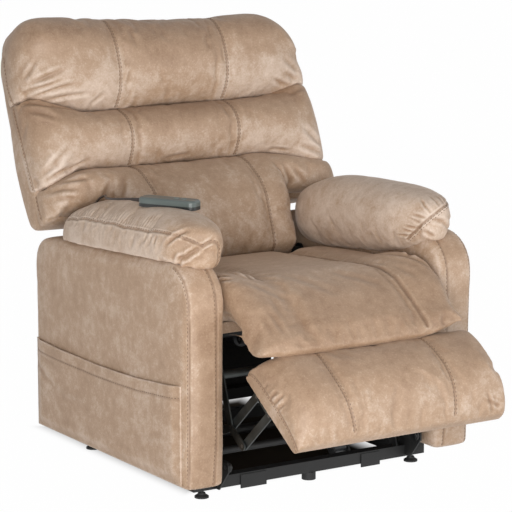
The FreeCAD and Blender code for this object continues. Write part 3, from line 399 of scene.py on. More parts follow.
def cover_in_suede(piece, body, *nodes, painted_light=0.0):
    """Gives a piece its cloth, the body it rides on and the nodes it stands for."""
    mark_wear_and_painted_light(piece, painted_light)
    piece.data.shade_smooth()
    piece.data.materials.clear()
    piece.data.materials.append(bpy.data.materials[SUEDE])
    if body:
        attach(piece, body)
    if nodes:
        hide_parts(*nodes)


def finish_soft(piece, body, *nodes, fill, painted_light=0.0):
    """The same for a stuffed piece."""
    cover_in_suede(piece, body, *nodes, painted_light=painted_light)


def two_sided(name, columns, rows, spot):
    """A thin closed panel. spot(layer, s, t) is a point of its layer 0 or 1, by shares across and up, in metres."""
    size = columns * rows
    verts = [spot(layer, i / (columns - 1), j / (rows - 1))
             for layer in (0, 1) for j in range(rows) for i in range(columns)]
    faces = [(a, a + 1, a + columns + 1, a + columns) for row in range(2 * rows) if row % rows != rows - 1
             for a in range(row * columns, row * columns + columns - 1)]
    border = (list(range(columns)) + [columns * j + columns - 1 for j in range(1, rows)]
              + [(rows - 1) * columns + i for i in range(columns - 2, -1, -1)]
              + [columns * j for j in range(rows - 2, 0, -1)])
    faces += [(a, b, b + size, a + size) for a, b in zip(border, border[1:] + border[:1])]
    piece = new_object(name, verts, faces)
    make_outward(piece)
    return piece


# Materials

SUEDE = "microfibre suede, nap brushed"


def linear(code):
    """A colour written as sRGB hex, turned to linear light."""
    parts = [int(code[i:i + 2], 16) / 255 for i in (1, 3, 5)]
    return [c / 12.92 if c <= 0.04045 else ((c + 0.055) / 1.055) ** 2.4 for c in parts] + [1.0]


def add_node(tree, kind, inputs=None, stops=(), **settings):
    """A node with its settings and colour stops. Each input is set, or linked to a socket or a node's first output."""
    node = tree.nodes.new(kind)
    for name, value in settings.items():
        setattr(node, name, value)
    for i, (position, code) in enumerate(stops):
        stop = node.color_ramp.elements[i] if i < 2 else node.color_ramp.elements.new(position)
        stop.position, stop.color = position, linear(code)
    for key, value in (inputs or {}).items():
        if isinstance(value, bpy.types.Node):
            value = value.outputs[0]
        if isinstance(value, bpy.types.NodeSocket):
            tree.links.new(value, node.inputs[key])
        else:
            node.inputs[key].default_value = value
    return node


def new_material(name):
    """An empty material, add_node for its tree, and where on the object a point is."""
    material = bpy.data.materials.new(name)
    material.use_nodes = True
    material.node_tree.nodes.clear()
    add = partial(add_node, material.node_tree)
    return add, add("ShaderNodeTexCoord").outputs["Object"]


def end_material(add, pattern, stops, relief, strength, depth, finish):
    """The end of a material: colour stops by a pattern, bumps by a relief, and its finish on the shader."""
    tone = add("ShaderNodeValToRGB", {"Fac": pattern}, stops)
    bumps = add("ShaderNodeBump", {"Height": relief, "Strength": strength, "Distance": depth})
    shader = add("ShaderNodeBsdfPrincipled", {"Base Color": tone, "Normal": bumps, **finish})
    add("ShaderNodeOutputMaterial", {"Surface": shader})


def suede_material(looks):
    # Microfibre suede: a short brushed nap printed with cloudy wear. The nap lies flat, so its shine is broad and pale.
    add, spot = new_material(SUEDE)
    clouds = add("ShaderNodeTexNoise", {"Vector": spot, "Scale": 1000 / looks.cloud_size, "Detail": 4.0,
                                        "Roughness": 0.6})
    blots = add("ShaderNodeTexNoise", {"Vector": spot, "Scale": 1000 / looks.blot_size, "Detail": 5.0,
                                       "Roughness": 0.68, "Distortion": 0.3})
    flecks = add("ShaderNodeTexNoise", {"Vector": spot, "Scale": 1000 / looks.fleck_size, "Detail": 4.0,
                                        "Roughness": 0.85})
    # Crests paler as rubbed nap and painted highlight, hollows darker as painted shade, plus painted light and shade
    # per piece.
    wear_and_painted_light = add("ShaderNodeAttribute", attribute_name="wear_and_painted_light").outputs["Fac"]
    seam = add("ShaderNodeAttribute", attribute_name="seam").outputs["Fac"]
    mottle = 0.11
    for pattern, share in ((clouds, 0.27), (blots, 0.25), (flecks, 0.26), (wear_and_painted_light, looks.wear_and_painted_light_share)):
        mottle = add("ShaderNodeMath", {0: pattern, 1: share, 2: mottle}, operation="MULTIPLY_ADD")
    # The dark stop is both dark nap and painted shade; the pale stop is both rubbed nap and painted light.
    tone = add("ShaderNodeValToRGB", {"Fac": mottle},
               [(0.33, looks.shade_colour), (0.50, looks.body_colour), (0.67, looks.rubbed_and_lit_colour)])
    fleck = add("ShaderNodeValToRGB", {"Fac": flecks}, [(0.58, "#000000"), (0.74, "#ffffff")])
    fleck_share = add("ShaderNodeMath", {0: fleck, 1: 0.35}, operation="MULTIPLY")
    speckled = add("ShaderNodeMix", {0: fleck_share, 6: tone, 7: linear(looks.fleck_colour)}, data_type="RGBA")
    # Painted shade: the cloth is darkened towards the seam colour along seams and folds.
    seam_shade_share = add("ShaderNodeMath", {0: seam, 1: 0.6}, operation="MULTIPLY")
    seam_shaded = add("ShaderNodeMix", {0: seam_shade_share, 6: speckled.outputs[2], 7: linear(looks.seam_shade_colour)},
                 data_type="RGBA")
    grain = add("ShaderNodeTexNoise", {"Vector": spot, "Scale": 1000 / looks.nap_size, "Detail": 2.0})
    low = add("ShaderNodeBump", {"Height": blots, "Strength": 0.30, "Distance": 0.004})
    fine = add("ShaderNodeBump", {"Height": grain, "Strength": 0.30, "Distance": 0.0012, "Normal": low})
    cloth = add("ShaderNodeBsdfPrincipled",
                {"Base Color": seam_shaded.outputs[2], "Roughness": looks.nap_roughness, "Sheen Weight": 0.3,
                 "Sheen Roughness": 0.5, "Sheen Tint": linear(looks.rubbed_and_lit_colour),
                 "Specular IOR Level": looks.nap_shine, "Normal": fine})
    add("ShaderNodeOutputMaterial", {"Surface": cloth})


def thread_material(looks):
    # Bonded polyester thread: three plies twisted, so short slanting lines and a soft shine.
    add, spot = new_material("bonded polyester thread")
    plies = add("ShaderNodeTexWave", {"Vector": spot, "Scale": 500.0, "Distortion": 1.0}, bands_direction="DIAGONAL")
    tone = add("ShaderNodeValToRGB", {"Fac": plies.outputs["Fac"]},
               [(0.2, looks.thread_shade), (0.8, looks.thread_colour)])
    thread = add("ShaderNodeBsdfPrincipled", {"Base Color": tone, "Roughness": 0.5})
    add("ShaderNodeOutputMaterial", {"Surface": thread})


def worn_metal(name, colour, shade, metallic, roughness, grain_mm, streak=1.0, bump=0.15):
    # Metal with mill or coating unevenness: a base tone, a slightly darker one, and a fine bump.
    add, spot = new_material(name)
    turned = add("ShaderNodeMapping", {"Vector": spot, "Scale": (1, streak, 1)})
    noise = add("ShaderNodeTexNoise", {"Vector": turned, "Scale": 1000 / grain_mm, "Detail": 4.0})
    cloud = add("ShaderNodeTexNoise", {"Vector": spot, "Scale": 18.0, "Detail": 3.0})
    rough = add("ShaderNodeMapRange", {"Value": cloud, "From Min": 0.3, "From Max": 0.7,
                                       "To Min": roughness - 0.08, "To Max": roughness + 0.08})
    end_material(add, cloud, [(0.35, shade), (0.65, colour)], noise, bump, 0.0006,
                 {"Metallic": metallic, "Roughness": rough})


def moulded(name, colour, shade, roughness, grain_mm, bump):
    # A moulded surface: its tool leaves a fine even grain, and handling leaves faint cloudy wear.
    add, spot = new_material(name)
    grain = add("ShaderNodeTexVoronoi", {"Vector": spot, "Scale": 1000 / grain_mm})
    cloud = add("ShaderNodeTexNoise", {"Vector": spot, "Scale": 25.0, "Detail": 3.0})
    rough = add("ShaderNodeMapRange", {"Value": cloud, "To Min": roughness - 0.05, "To Max": roughness + 0.05})
    end_material(add, cloud, [(0.3, shade), (0.7, colour)], grain, bump, 0.0003, {"Roughness": rough})


def plywood_material():
    # Rotary cut plywood: long wavy figure on the face, raw and unvarnished.
    add, spot = new_material("raw birch plywood")
    turned = add("ShaderNodeMapping", {"Vector": spot, "Scale": (3.0, 30.0, 30.0)})
    figure = add("ShaderNodeTexNoise", {"Vector": turned, "Scale": 3.0, "Detail": 6.0, "Distortion": 1.5})
    end_material(add, figure, [(0.3, "#8f6a45"), (0.7, "#c7a274")], figure, 0.2, 0.0008, {"Roughness": 0.75})


def webbing_material():
    # Elastic webbing: woven in ribs about 2 mm apart across the band.
    add, spot = new_material("woven elastic webbing")
    ribs = add("ShaderNodeTexWave", {"Vector": spot, "Scale": 160.0, "Distortion": 0.6},
               bands_direction="DIAGONAL").outputs["Fac"]
    end_material(add, ribs, [(0.2, "#161616"), (0.9, "#3a3733")], ribs, 0.6, 0.0008, {"Roughness": 0.8})


def lining_material():
    # Spunbonded lining cloth: matt black fibre, pressed into a small diamond grid.
    add, spot = new_material("black lining cloth")
    grid = add("ShaderNodeTexVoronoi", {"Vector": spot, "Scale": 250.0}, distance="MANHATTAN")
    end_material(add, grid, [(0.1, "#0c0c0c"), (0.6, "#1b1a19")], grid, 0.3, 0.0005,
                 {"Roughness": 0.9, "Specular IOR Level": 0.2})


def floor_material(painted_shade_box):
    # White paper: the camera sees plain white, except under the chair, where the paper's colour is painted dark as
    # painted shade.
    add, spot = new_material("white paper floor")
    split = add("ShaderNodeSeparateXYZ", {0: spot})
    half_x, half_y, middle_y = painted_shade_box
    across = add("ShaderNodeMath", {0: split.outputs["X"]}, operation="ABSOLUTE")
    across = add("ShaderNodeMath", {0: across, 1: half_x}, operation="SUBTRACT")
    along = add("ShaderNodeMath", {0: split.outputs["Y"], 1: middle_y}, operation="SUBTRACT")
    along = add("ShaderNodeMath", {0: along}, operation="ABSOLUTE")
    along = add("ShaderNodeMath", {0: along, 1: half_y}, operation="SUBTRACT")
    outside = add("ShaderNodeMath", {0: across, 1: along}, operation="MAXIMUM")
    outside_painted_shade = add("ShaderNodeMapRange", {"Value": outside, "From Min": -0.07, "From Max": 0.03},
                     interpolation_type="SMOOTHSTEP")
    share = add("ShaderNodeMath", {0: seen_by_camera(add), 1: 0.99}, operation="MULTIPLY")
    share = add("ShaderNodeMath", {0: share, 1: outside_painted_shade}, operation="MULTIPLY")
    # Painted shade: the paper's dark colour under the chair.
    tone = add("ShaderNodeMix", {0: outside_painted_shade, 6: linear("#3a352f"), 7: linear("#ececec")}, data_type="RGBA")
    paper = add("ShaderNodeBsdfDiffuse", {"Color": tone.outputs[2]})
    white = add("ShaderNodeEmission", {"Color": (1, 1, 1, 1), "Strength": 1.0})
    mixed = add("ShaderNodeMixShader", {0: share, 1: paper, 2: white})
    add("ShaderNodeOutputMaterial", {"Surface": mixed})


def seen_by_camera(add):
    """1 for what the camera sees, also in metal and through glass."""
    path = add("ShaderNodeLightPath").outputs
    seen = add("ShaderNodeMath", {0: path["Is Camera Ray"], 1: path["Is Glossy Ray"]}, operation="MAXIMUM")
    return add("ShaderNodeMath", {0: seen, 1: path["Is Transmission Ray"]}, operation="MAXIMUM")


# What a user would change

def colour_of(name, about, code):
    """A colour that a user can change."""
    return StringProperty(name=name, description=about + ", as an sRGB hex code", default=code)


class ChairCloth(bpy.types.PropertyGroup):
    body_colour: colour_of("Body colour", "The suede between its worn and shaded patches", "#a4876d")
    # The shade colour serves dark nap and painted shade; the rubbed colour serves rubbed nap and painted light.
    shade_colour: colour_of("Shade colour", "The suede where its nap lies dark", "#84654a")
    rubbed_and_lit_colour: colour_of("Rubbed colour", "The suede where its nap is rubbed pale", "#ccb8a7")
    fleck_colour: colour_of("Fleck colour", "Pale flecks in the nap", "#dccab8")
    # Painted shade deep in seams and folds.
    seam_shade_colour: colour_of("Seam colour", "The cloth deep in a seam", "#6a4f38")
    thread_colour: colour_of("Thread colour", "The top of each stitch", "#7a604a")
    thread_shade: colour_of("Thread shade", "Between the plies of the thread", "#5a4432")
    cloud_size: FloatProperty(name="Clouds", description="Size of the broad worn patches, mm", default=95.0, min=20)
    blot_size: FloatProperty(name="Blots", description="Size of the small mottles, mm", default=24.0, min=5)
    fleck_size: FloatProperty(name="Flecks", description="Size of the pale flecks, mm, as coarse as shows",
                              default=5.0, min=1)
    nap_size: FloatProperty(name="Nap", description="Size of the nap's tufts, mm, as coarse as shows",
                            default=3.0, min=0.5)
    # The wear share also scales the painted light and shade laid on each piece.
    wear_and_painted_light_share: FloatProperty(name="Wear", description="How much paler crests are than hollows", default=0.20, min=0)
    nap_roughness: FloatProperty(name="Nap roughness", description="How widely the nap scatters its shine",
                                 default=0.6, min=0, max=1)
    nap_shine: FloatProperty(name="Nap shine", description="Specular level of the nap", default=0.9, min=0, max=1)
    stitch_pitch: FloatProperty(name="Stitch pitch", description="From one stitch to the next", default=0.0100,
                                min=0.002, subtype="DISTANCE", unit="LENGTH")
    stitch_length: FloatProperty(name="Stitch length", description="Length of one stitch", default=0.0062,
                                 min=0.001, subtype="DISTANCE", unit="LENGTH")
    thread_width: FloatProperty(name="Thread width", description="Width of the thread", default=0.0019, min=0.0003,
                                subtype="DISTANCE", unit="LENGTH")


class ChairMetal(bpy.types.PropertyGroup):
    coat_colour: colour_of("Frame coat", "Powder coat of the frame", "#080808")
    zinc_colour: colour_of("Zinc", "Zinc plate of the links", "#505352")


class ChairControl(bpy.types.PropertyGroup):
    shell_colour: colour_of("Shell colour", "Upper shell of the hand control", "#565e5b")
    # The lower shell's dark colour is partly its plastic and partly painted shade.
    lower_shell_and_shade_colour: colour_of("Base colour", "Lower shell of the hand control", "#1f2120")
    key_colour: colour_of("Key colour", "The two keys", "#84908c")
    cord_colour: colour_of("Cord colour", "The cord's jacket", "#33261f")


class ChairStudio(bpy.types.PropertyGroup):
    camera_place: FloatVectorProperty(name="Camera", description="Camera's place from the arms' front, mm",
                                      default=(-3705.17, -5456.0, 1882.1))
    camera_turn: FloatProperty(name="Camera turn", description="Camera's heading, to the right of straight back",
                               default=math.radians(32.534), subtype="ANGLE", unit="ROTATION")
    camera_dip: FloatProperty(name="Camera dip", description="How far the camera looks down",
                              default=math.radians(11.094), subtype="ANGLE", unit="ROTATION")
    lens: FloatProperty(name="Lens", description="Focal length for a 36 mm sensor, mm", default=191.63)
    picture_size: IntProperty(name="Picture size", description="Width and height of the picture, px", default=512)
    key_power: FloatProperty(name="Key light", description="Power of the front softbox, W", default=172.0)
    fill_power: FloatProperty(name="Fill light", description="Power of the side softbox, W", default=30.0)
    room_light: FloatProperty(name="Room light", description="Strength of the room's own light", default=0.275)


# The back

def back_reach(up):
    """How far out the back's sides stand, by height along it."""
    return np.interp(up, [150, 250, 330, 400, 459, 520, 570, 610, 640, 665, 684, 700],
                     [424, 428, 432, 434, 433, 432, 428, 421, 412, 398, 376, 348])


PILLOW_REAR = 140.0
SIDE_DEPTH = 118.0


def pillow_rings(low, high, profile, reaches, steps=57, flare=0.0):
    """Rings of a pillow from side to side. profile is (share of the way up, how far rearward) of its front,
    which rolls back to SIDE_DEPTH at its ends. The filling there is even, so the valleys fade towards the ends.
    flare is how far the lower end spreads to the chair's left."""
    rings = []
    for turn in np.linspace(-90, 90, steps):
        side = 1 if turn > 0 else 0
        reach, roll, power = reaches[side], (86.0, 66.0)[side], (2.4, 3.0)[side]
        x = reach * math.sin(math.radians(turn))
        near = max(0.0, (abs(x) - (reach - roll)) / roll)
        full = (1 - near ** power) ** 0.5 if near > 0 else 1.0
        bottom, top = low(x), high(x)
        mid, half = (bottom + top) / 2, (top - bottom) / 2
        crown = 1.0 - 0.05 * math.exp(-((abs(x) - SEAM_X) / 30) ** 2)
        even_fill = (0.35, 0.8)[side] * float(ease(abs(x), 300, 415))
        front = []
        for share, deep in profile(abs(x)):
            low_end = share < 0.5 or top < 600
            deep += (24 - deep) * even_fill * (1.0 if low_end else 0.3)
            front.append((mid + (2 * share - 1) * half,
                          min(SIDE_DEPTH - (SIDE_DEPTH - deep) * full * crown, PILLOW_REAR - 6)))
        front = through(front, 44)
        corners = [tuple(front[-1]), (mid + half, PILLOW_REAR), (mid - half, PILLOW_REAR), tuple(front[0])]
        ring = np.vstack([front, through(corners[0:2], 8)[1:], through(corners[1:3], 14)[1:],
                          through(corners[2:4], 8)[1:-1]])
        spread = flare * float(ease(x, 250, 424))
        rings.append([on_back(x + spread * (1 - float(ease(up, 470, 600))), up, back) for up, back in ring])
    return rings


def valley_high(x):
    """Where the head and middle pillows meet, up along the back."""
    return 459.0 + 48 * float(ease(-x, 240, 440)) + 18 * float(ease(x, 240, 430))


def valley_low(x):
    """Where the middle and lumbar pillows meet; the lumbar pillow's top is an arch."""
    return 299.0 - 36 * float(ease(-x, 290, 436)) - 46 * float(ease(x, 215, 434))


HEAD_PROFILE = [(0, 64), (0.065, 37), (0.16, 9), (0.32, -13), (0.49, -21), (0.65, -23), (0.80, -12), (0.92, 8),
                (0.98, 30), (1.0, 52)]
MIDDLE_PROFILE = [(0, 70), (0.11, 44), (0.27, 18), (0.50, 4), (0.74, 16), (0.90, 42), (1.0, 64)]
LUMBAR_PROFILE = [(0, 30), (0.03, -8), (0.12, -22), (0.25, -29), (0.38, -34), (0.52, -40), (0.66, -30), (0.76, -12),
                  (0.86, 8), (0.945, 36), (1.0, 70)]
WING_PROFILE = [(0, 104), (0.04, 62), (0.16, 24), (0.34, 6), (0.52, 2), (0.70, 8), (0.87, 36), (1.0, 70)]
TUCK_X = 243.0


def held_pillow(layout):
    """The pillow's rear, and lines along its seams, stay where they are."""
    y, z = layout[:, 1] - BACK_ORIGIN[0], layout[:, 2] - BACK_ORIGIN[1]
    rear = y * math.cos(BACK_SLOPE) - z * math.sin(BACK_SLOPE)
    seam = 0.8 * np.exp(-((np.abs(layout[:, 0]) - SEAM_X) / 7) ** 2)
    return np.clip(np.maximum(ease(rear, 108, 126), seam), 0, 1)


def head_top(x):
    """The head pillow's top, fuller at the chair's right."""
    return float(np.interp(x, [-438, -430, -418, -400, -380, -340, -280, -190, -100, 0, 150, 220, 290, 320, 345,
                               370, 392, 408, 418],
                           [560, 632, 676, 702, 713, 717, 715, 707, 699, 692, 687, 690, 690, 685, 674,
                            655, 622, 585, 500]))


def lumbar_low(x):
    """The lumbar pillow's lower edge. Where the arm pad hides it, the wing ends higher, to clear the pad."""
    hidden = 13 * float(ease(abs(x), 262, 285) * (1 - ease(abs(x), 388, 412)))
    return hidden + float(-4 + 180 * ease(abs(x), TUCK_X - 6, TUCK_X + 8))


def lumbar_profile(x):
    """The lumbar pillow's front, with a flatter wing beyond the tuck at the chair's left."""
    wing = float(ease(x, TUCK_X - 6, TUCK_X + 8))
    shares = np.linspace(0, 1, 16)
    deep = (1 - wing) * np.interp(shares, *zip(*LUMBAR_PROFILE)) + wing * np.interp(shares, *zip(*WING_PROFILE))
    return list(zip(shares, deep))


# Folds of each pillow: start and end as (x, up), depth and width in mm.
HEAD_FOLDS = [((-426, 520), (-352, 522), 5, 6), ((-420, 532), (-330, 552), 5, 7), ((-402, 508), (-300, 514), 5, 6),
              ((-372, 494), (-262, 490), 4, 6), ((-428, 548), (-396, 590), 3, 6), ((-250, 468), (-215, 488), 3, 6),
              ((410, 486), (350, 502), 4, 7), ((408, 502), (346, 538), 3, 8), ((376, 474), (312, 490), 4, 6)]
MIDDLE_FOLDS = [((-424, 276), (-338, 312), 5, 6), ((-426, 292), (-352, 350), 5, 8), ((-400, 284), (-296, 318), 5, 6),
                ((-428, 500), (-350, 460), 5, 7), ((-424, 470), (-372, 430), 4, 7), ((-370, 474), (-290, 450), 4, 6),
                ((424, 270), (350, 300), 5, 7), ((426, 290), (366, 344), 4, 8), ((420, 464), (362, 446), 3, 7),
                ((-60, 306), (20, 310), 3, 7), ((330, 290), (270, 304), 4, 6)]
LUMBAR_FOLDS = [((262, 186), (238, 250), 6, 8), ((300, 190), (262, 236), 5, 7), ((340, 192), (300, 226), 4, 7),
                ((-256, 190), (-232, 256), 6, 9), ((-290, 198), (-266, 250), 4, 8),
                ((-424, 246), (-352, 232), 5, 8), ((-420, 226), (-372, 206), 4, 8), ((-390, 258), (-310, 262), 4, 7)]


class CHAIR_OT_back(bpy.types.Operator):
    """Three stuffed pillows with two long seams, sewn to a side strip and a plain outer back."""
    bl_idname = "chair.back"
    bl_label = "Back pillows and cover"

    def execute(self, context):
        rows = (
            ("head_cushion", "head_pillow",
             pillow_rings(lambda x: valley_high(x) + 1, head_top, lambda x: HEAD_PROFILE, (438, 424), flare=22),
             lambda x: (valley_high(x) + 3, 686), (470, 640), HEAD_FOLDS, (459, 690)),
            ("middle_cushion", "middle_pillow",
             pillow_rings(lambda x: valley_low(x) + 1, lambda x: valley_high(x) - 1, lambda x: MIDDLE_PROFILE,
                          (438, 446)),
             lambda x: (valley_low(x) + 3, valley_high(x) - 3), (268, 500), MIDDLE_FOLDS, (290, 465)),
            ("lumbar_cushion", "lumbar_pillow",
             pillow_rings(lumbar_low, lambda x: valley_low(x) - 1, lumbar_profile, (434, 456), steps=71),
             lambda x: (6, valley_low(x) - 3), (190, 256), LUMBAR_FOLDS, (0, 310)),
        )
        front = (0, -math.cos(BACK_SLOPE), math.sin(BACK_SLOPE))
        for name, node, rings, seam, edge, folds, span in rows:
            piece = cushion(name, rings, held=held_pillow, voxel=0.0065, cap=0.014)
            tailor = Tailor(piece)
            for start, end, deep, wide in folds:
                tailor.crease(on_back(*start, -60), on_back(*end, -60), front, deep, wide, 0.5, 0.3)
            for side in (-1, 1):
                height = np.linspace(*seam(side * SEAM_X), 60)
                tailor.sew(tailor.cast([on_back(side * SEAM_X, up, -60) for up in height], front))
                side_seam = [on_back(side * (back_reach(up) + 10), up, 112) for up in np.linspace(*edge, 40)]
                tailor.sew(tailor.laid(side_seam), rows=(4.2,))
            tailor.done()
            # Painted light: each pillow's lower part painted paler and its top painted darker as shade; the head and
            # middle pillows' centre panel painted darker as shade; the lumbar pillow gets less.
            layout = layout_of(piece)
            up = ((layout[:, 1] - BACK_ORIGIN[0]) * math.sin(BACK_SLOPE)
                  + (layout[:, 2] - BACK_ORIGIN[1]) * math.cos(BACK_SLOPE))
            share = (up - span[0]) / (span[1] - span[0])
            painted_light = 0.42 * (1 - ease(share, 0.15, 0.5)) - 0.55 * ease(share, 0.5, 0.95)
            painted_light = 0.3 * painted_light if span[0] == 0 else painted_light - 0.25 * ease(SEAM_X - np.abs(layout[:, 0]), 0, 20)
            finish_soft(piece, "back", node, fill=0.7, painted_light=painted_light)
        self.cover()
        return {"FINISHED"}

    def cover(self):
        """The outer back: a strip round the side, and a slightly crowned rear panel inside an edge seam."""
        outline = [(-420, 180), (-432, 212), (-434, 350), (-427, 431), (-420, 513), (-416, 560), (-410, 622),
                   (-401, 656), (-384, 688), (-348, 704), (-250, 702), (0, 688), (250, 682), (330, 674), (372, 652),
                   (398, 610), (414, 540), (432, 430), (444, 300), (438, 180)]
        edge = through(outline, 120)
        low = through([(438, 180), (240, 177), (0, 176), (-240, 177), (-420, 180)], 60)[1:-1]
        loop = np.vstack([edge, low])
        middle = np.array([0, 430.0])
        rings = []
        for inset, rear in ((34, 96), (12, 100), (2, 110), (-1, 130), (-1, 160), (0, 184), (4, 196), (13, 203),
                            (34, 207), (130, 210), (240, 213)):
            away = loop - middle
            length = np.linalg.norm(away, axis=1, keepdims=True)
            ring = loop - away / length * np.minimum(inset, length * 0.75)
            rings.append([on_back(x, up, rear) for x, up in ring])
        piece = cushion("outer_back", rings, voxel=0.0085, pressure=0.6, slack=0.004, cap=0.004)
        tailor = Tailor(piece)
        inner = through([(x * 0.955, 430 + (up - 430) * 0.925) for x, up in outline], 120)
        tailor.sew(tailor.cast([on_back(x, up, 205) for x, up in inner if up > 182],
                               (0, math.cos(BACK_SLOPE), -math.sin(BACK_SLOPE))), rows=(4.0,))
        tailor.done()
        finish_soft(piece, "back", "back_cover", fill=0.4)


# The arms

ARM_LENGTH, ARM_FOOT, ARM_TOP = 770, 52, 600
FRONT_CORNER, REAR_CORNER = 90, 72


def arm_profile(inset=0.0):
    """The arm's outline from the side, as (y, z), drawn in by an inset."""
    front, rear, low = inset, ARM_LENGTH - inset, ARM_FOOT + inset
    near, far = FRONT_CORNER - inset, REAR_CORNER - inset
    arc = [(FRONT_CORNER - near * math.cos(a), 516 + near * math.sin(a)) for a in np.radians(np.linspace(0, 90, 9))]
    back = [(ARM_LENGTH - REAR_CORNER + far * math.sin(a), 496 + far * math.cos(a))
            for a in np.radians(np.linspace(0, 90, 7))]
    return [(front, low), (front, 280)] + arc + [(400, 587 - inset)] + back + [(rear, 280), (rear, low)]


def arm_bulge(y, z, side):
    """How far the padding swells the arm's outer side, by place on it."""
    edge = np.minimum(np.minimum(y, ARM_LENGTH - y), np.minimum(z - ARM_FOOT, ARM_TOP - z))
    return (7.0 if side > 0 else 5.0) + (6.0 if side > 0 else 4.0) * ease(edge, 0, 90)


def dense(points, step):
    """Straight runs between points divided so that no two are further apart than a step."""
    out = []
    loop = list(points) + [points[0]]
    for a, b in zip(loop, loop[1:]):
        count = max(1, int(math.dist(a, b) / step))
        out += [(a[0] + (b[0] - a[0]) * t, a[1] + (b[1] - a[1]) * t) for t in np.linspace(0, 1, count, endpoint=False)]
    return out


class CHAIR_OT_arms(bpy.types.Operator):
    """Two padded arm panels with a sewn front facing."""
    bl_idname = "chair.arms"
    bl_label = "Arm panels"

    def execute(self, context):
        for side, node in ((-1, "arm_panel_right"), (1, "arm_panel_left")):
            hub = np.array([385.0, 320.0])
            away = np.array(dense(arm_profile(), 12)) - hub
            length = np.linalg.norm(away, axis=1, keepdims=True)
            rings = [[(side * x, y, z) for y, z in hub + away * (1 - inset / length)]
                     for x, inset in ((INNER_X + 1, 9), (INNER_X + 3, 4), (INNER_X + 9, 1), (INNER_X + 30, 0), (366, 0),
                                      (OUTER_X - 30, 0), (OUTER_X - 9, 1), (OUTER_X - 3, 4), (OUTER_X - 1, 9))]
            piece = cushion(node + "_cloth", rings, voxel=0.0085, pressure=0.5, slack=0.006, cap=0.003,
                            held=lambda layout: ease(60 - layout[:, 2], 0, 8))
            layout = layout_of(piece)
            swell = arm_bulge(layout[:, 1], layout[:, 2], side) * ease(side * layout[:, 0], OUTER_X - 60, OUTER_X - 4)
            bow = 9 * ease(40 - layout[:, 1], 0, 38) * ease(layout[:, 2], 60, 200) * ease(640 - layout[:, 2], 0, 160)
            set_points(piece, points_of(piece) + np.column_stack([side * swell, -bow, 0 * bow]) / 1000)
            tailor = Tailor(piece)
            upright = [(0, z) for z in np.linspace(58, 516, 60)]
            bend = [(90 - 90 * math.cos(a), 516 + 90 * math.sin(a)) for a in np.radians(np.linspace(4, 78, 24))]
            for x in (INNER_X + 31, OUTER_X + 4):
                tailor.sew(tailor.laid([(side * x, y - 8, z) for y, z in upright + bend]), depth=2.0, rows=(4.2,))
            tailor.done()
            # Painted shade: the front of the chair's right arm is painted darker.
            finish_soft(piece, "chair", node, fill=0.3, painted_light=-0.3 * (side < 0) * ease(-layout[:, 1], -30, 0))
        return {"FINISHED"}


PAD_SECTIONS = [
    # along the pad, then its inner and outer side, underside and top
    (17, 326, 352, 618, 668), (21, 317, 364, 600, 682), (34, 301, 386, 588, 691), (50, 292, 404, 581, 697),
    (75, 279, 421, 571, 703), (108, 267, 432, 560, 706), (150, 259, 435, 547, 708), (247, 255, 436, 529, 705),
    (350, 255, 436, 518, 702), (431, 256, 435, 508, 696), (500, 259, 433, 503, 687), (560, 268, 428, 504, 672),
    (596, 284, 418, 522, 652), (612, 304, 400, 552, 628),
]
# The welt runs along the outside, then round the nose's end panel, by the chair's right (-1) and left (1) arm.
WELT = {-1: [(428, 628, 643), (432, 510, 657), (433, 380, 666), (433, 269, 669), (431, 170, 675), (429, 112, 680),
             (416, 60, 677), (394, 34, 667), (364, 21, 652)],
        1: [(428, 600, 650), (432, 500, 661), (433, 380, 666), (433, 269, 669), (431, 170, 678), (424, 100, 686),
            (398, 44, 690), (362, 20, 684), (330, 22, 668), (304, 34, 644), (286, 56, 612), (276, 80, 584)]}
PINCH = (434, 108, 601)


def pad_ring(y, x0, x1, z0, z1):
    """A soft rounded loop across the pad."""
    middle, half = (x0 + x1) / 2, (x1 - x0) / 2
    centre, tall = (z0 + z1) / 2, (z1 - z0) / 2
    points = []
    for turn in np.linspace(0, 2 * math.pi, 60, endpoint=False):
        c, s = math.cos(turn), math.sin(turn)
        points.append((middle + half * math.copysign(abs(c) ** 0.74, c), y,
                       centre + tall * math.copysign(abs(s) ** 0.74, s)))
    return points


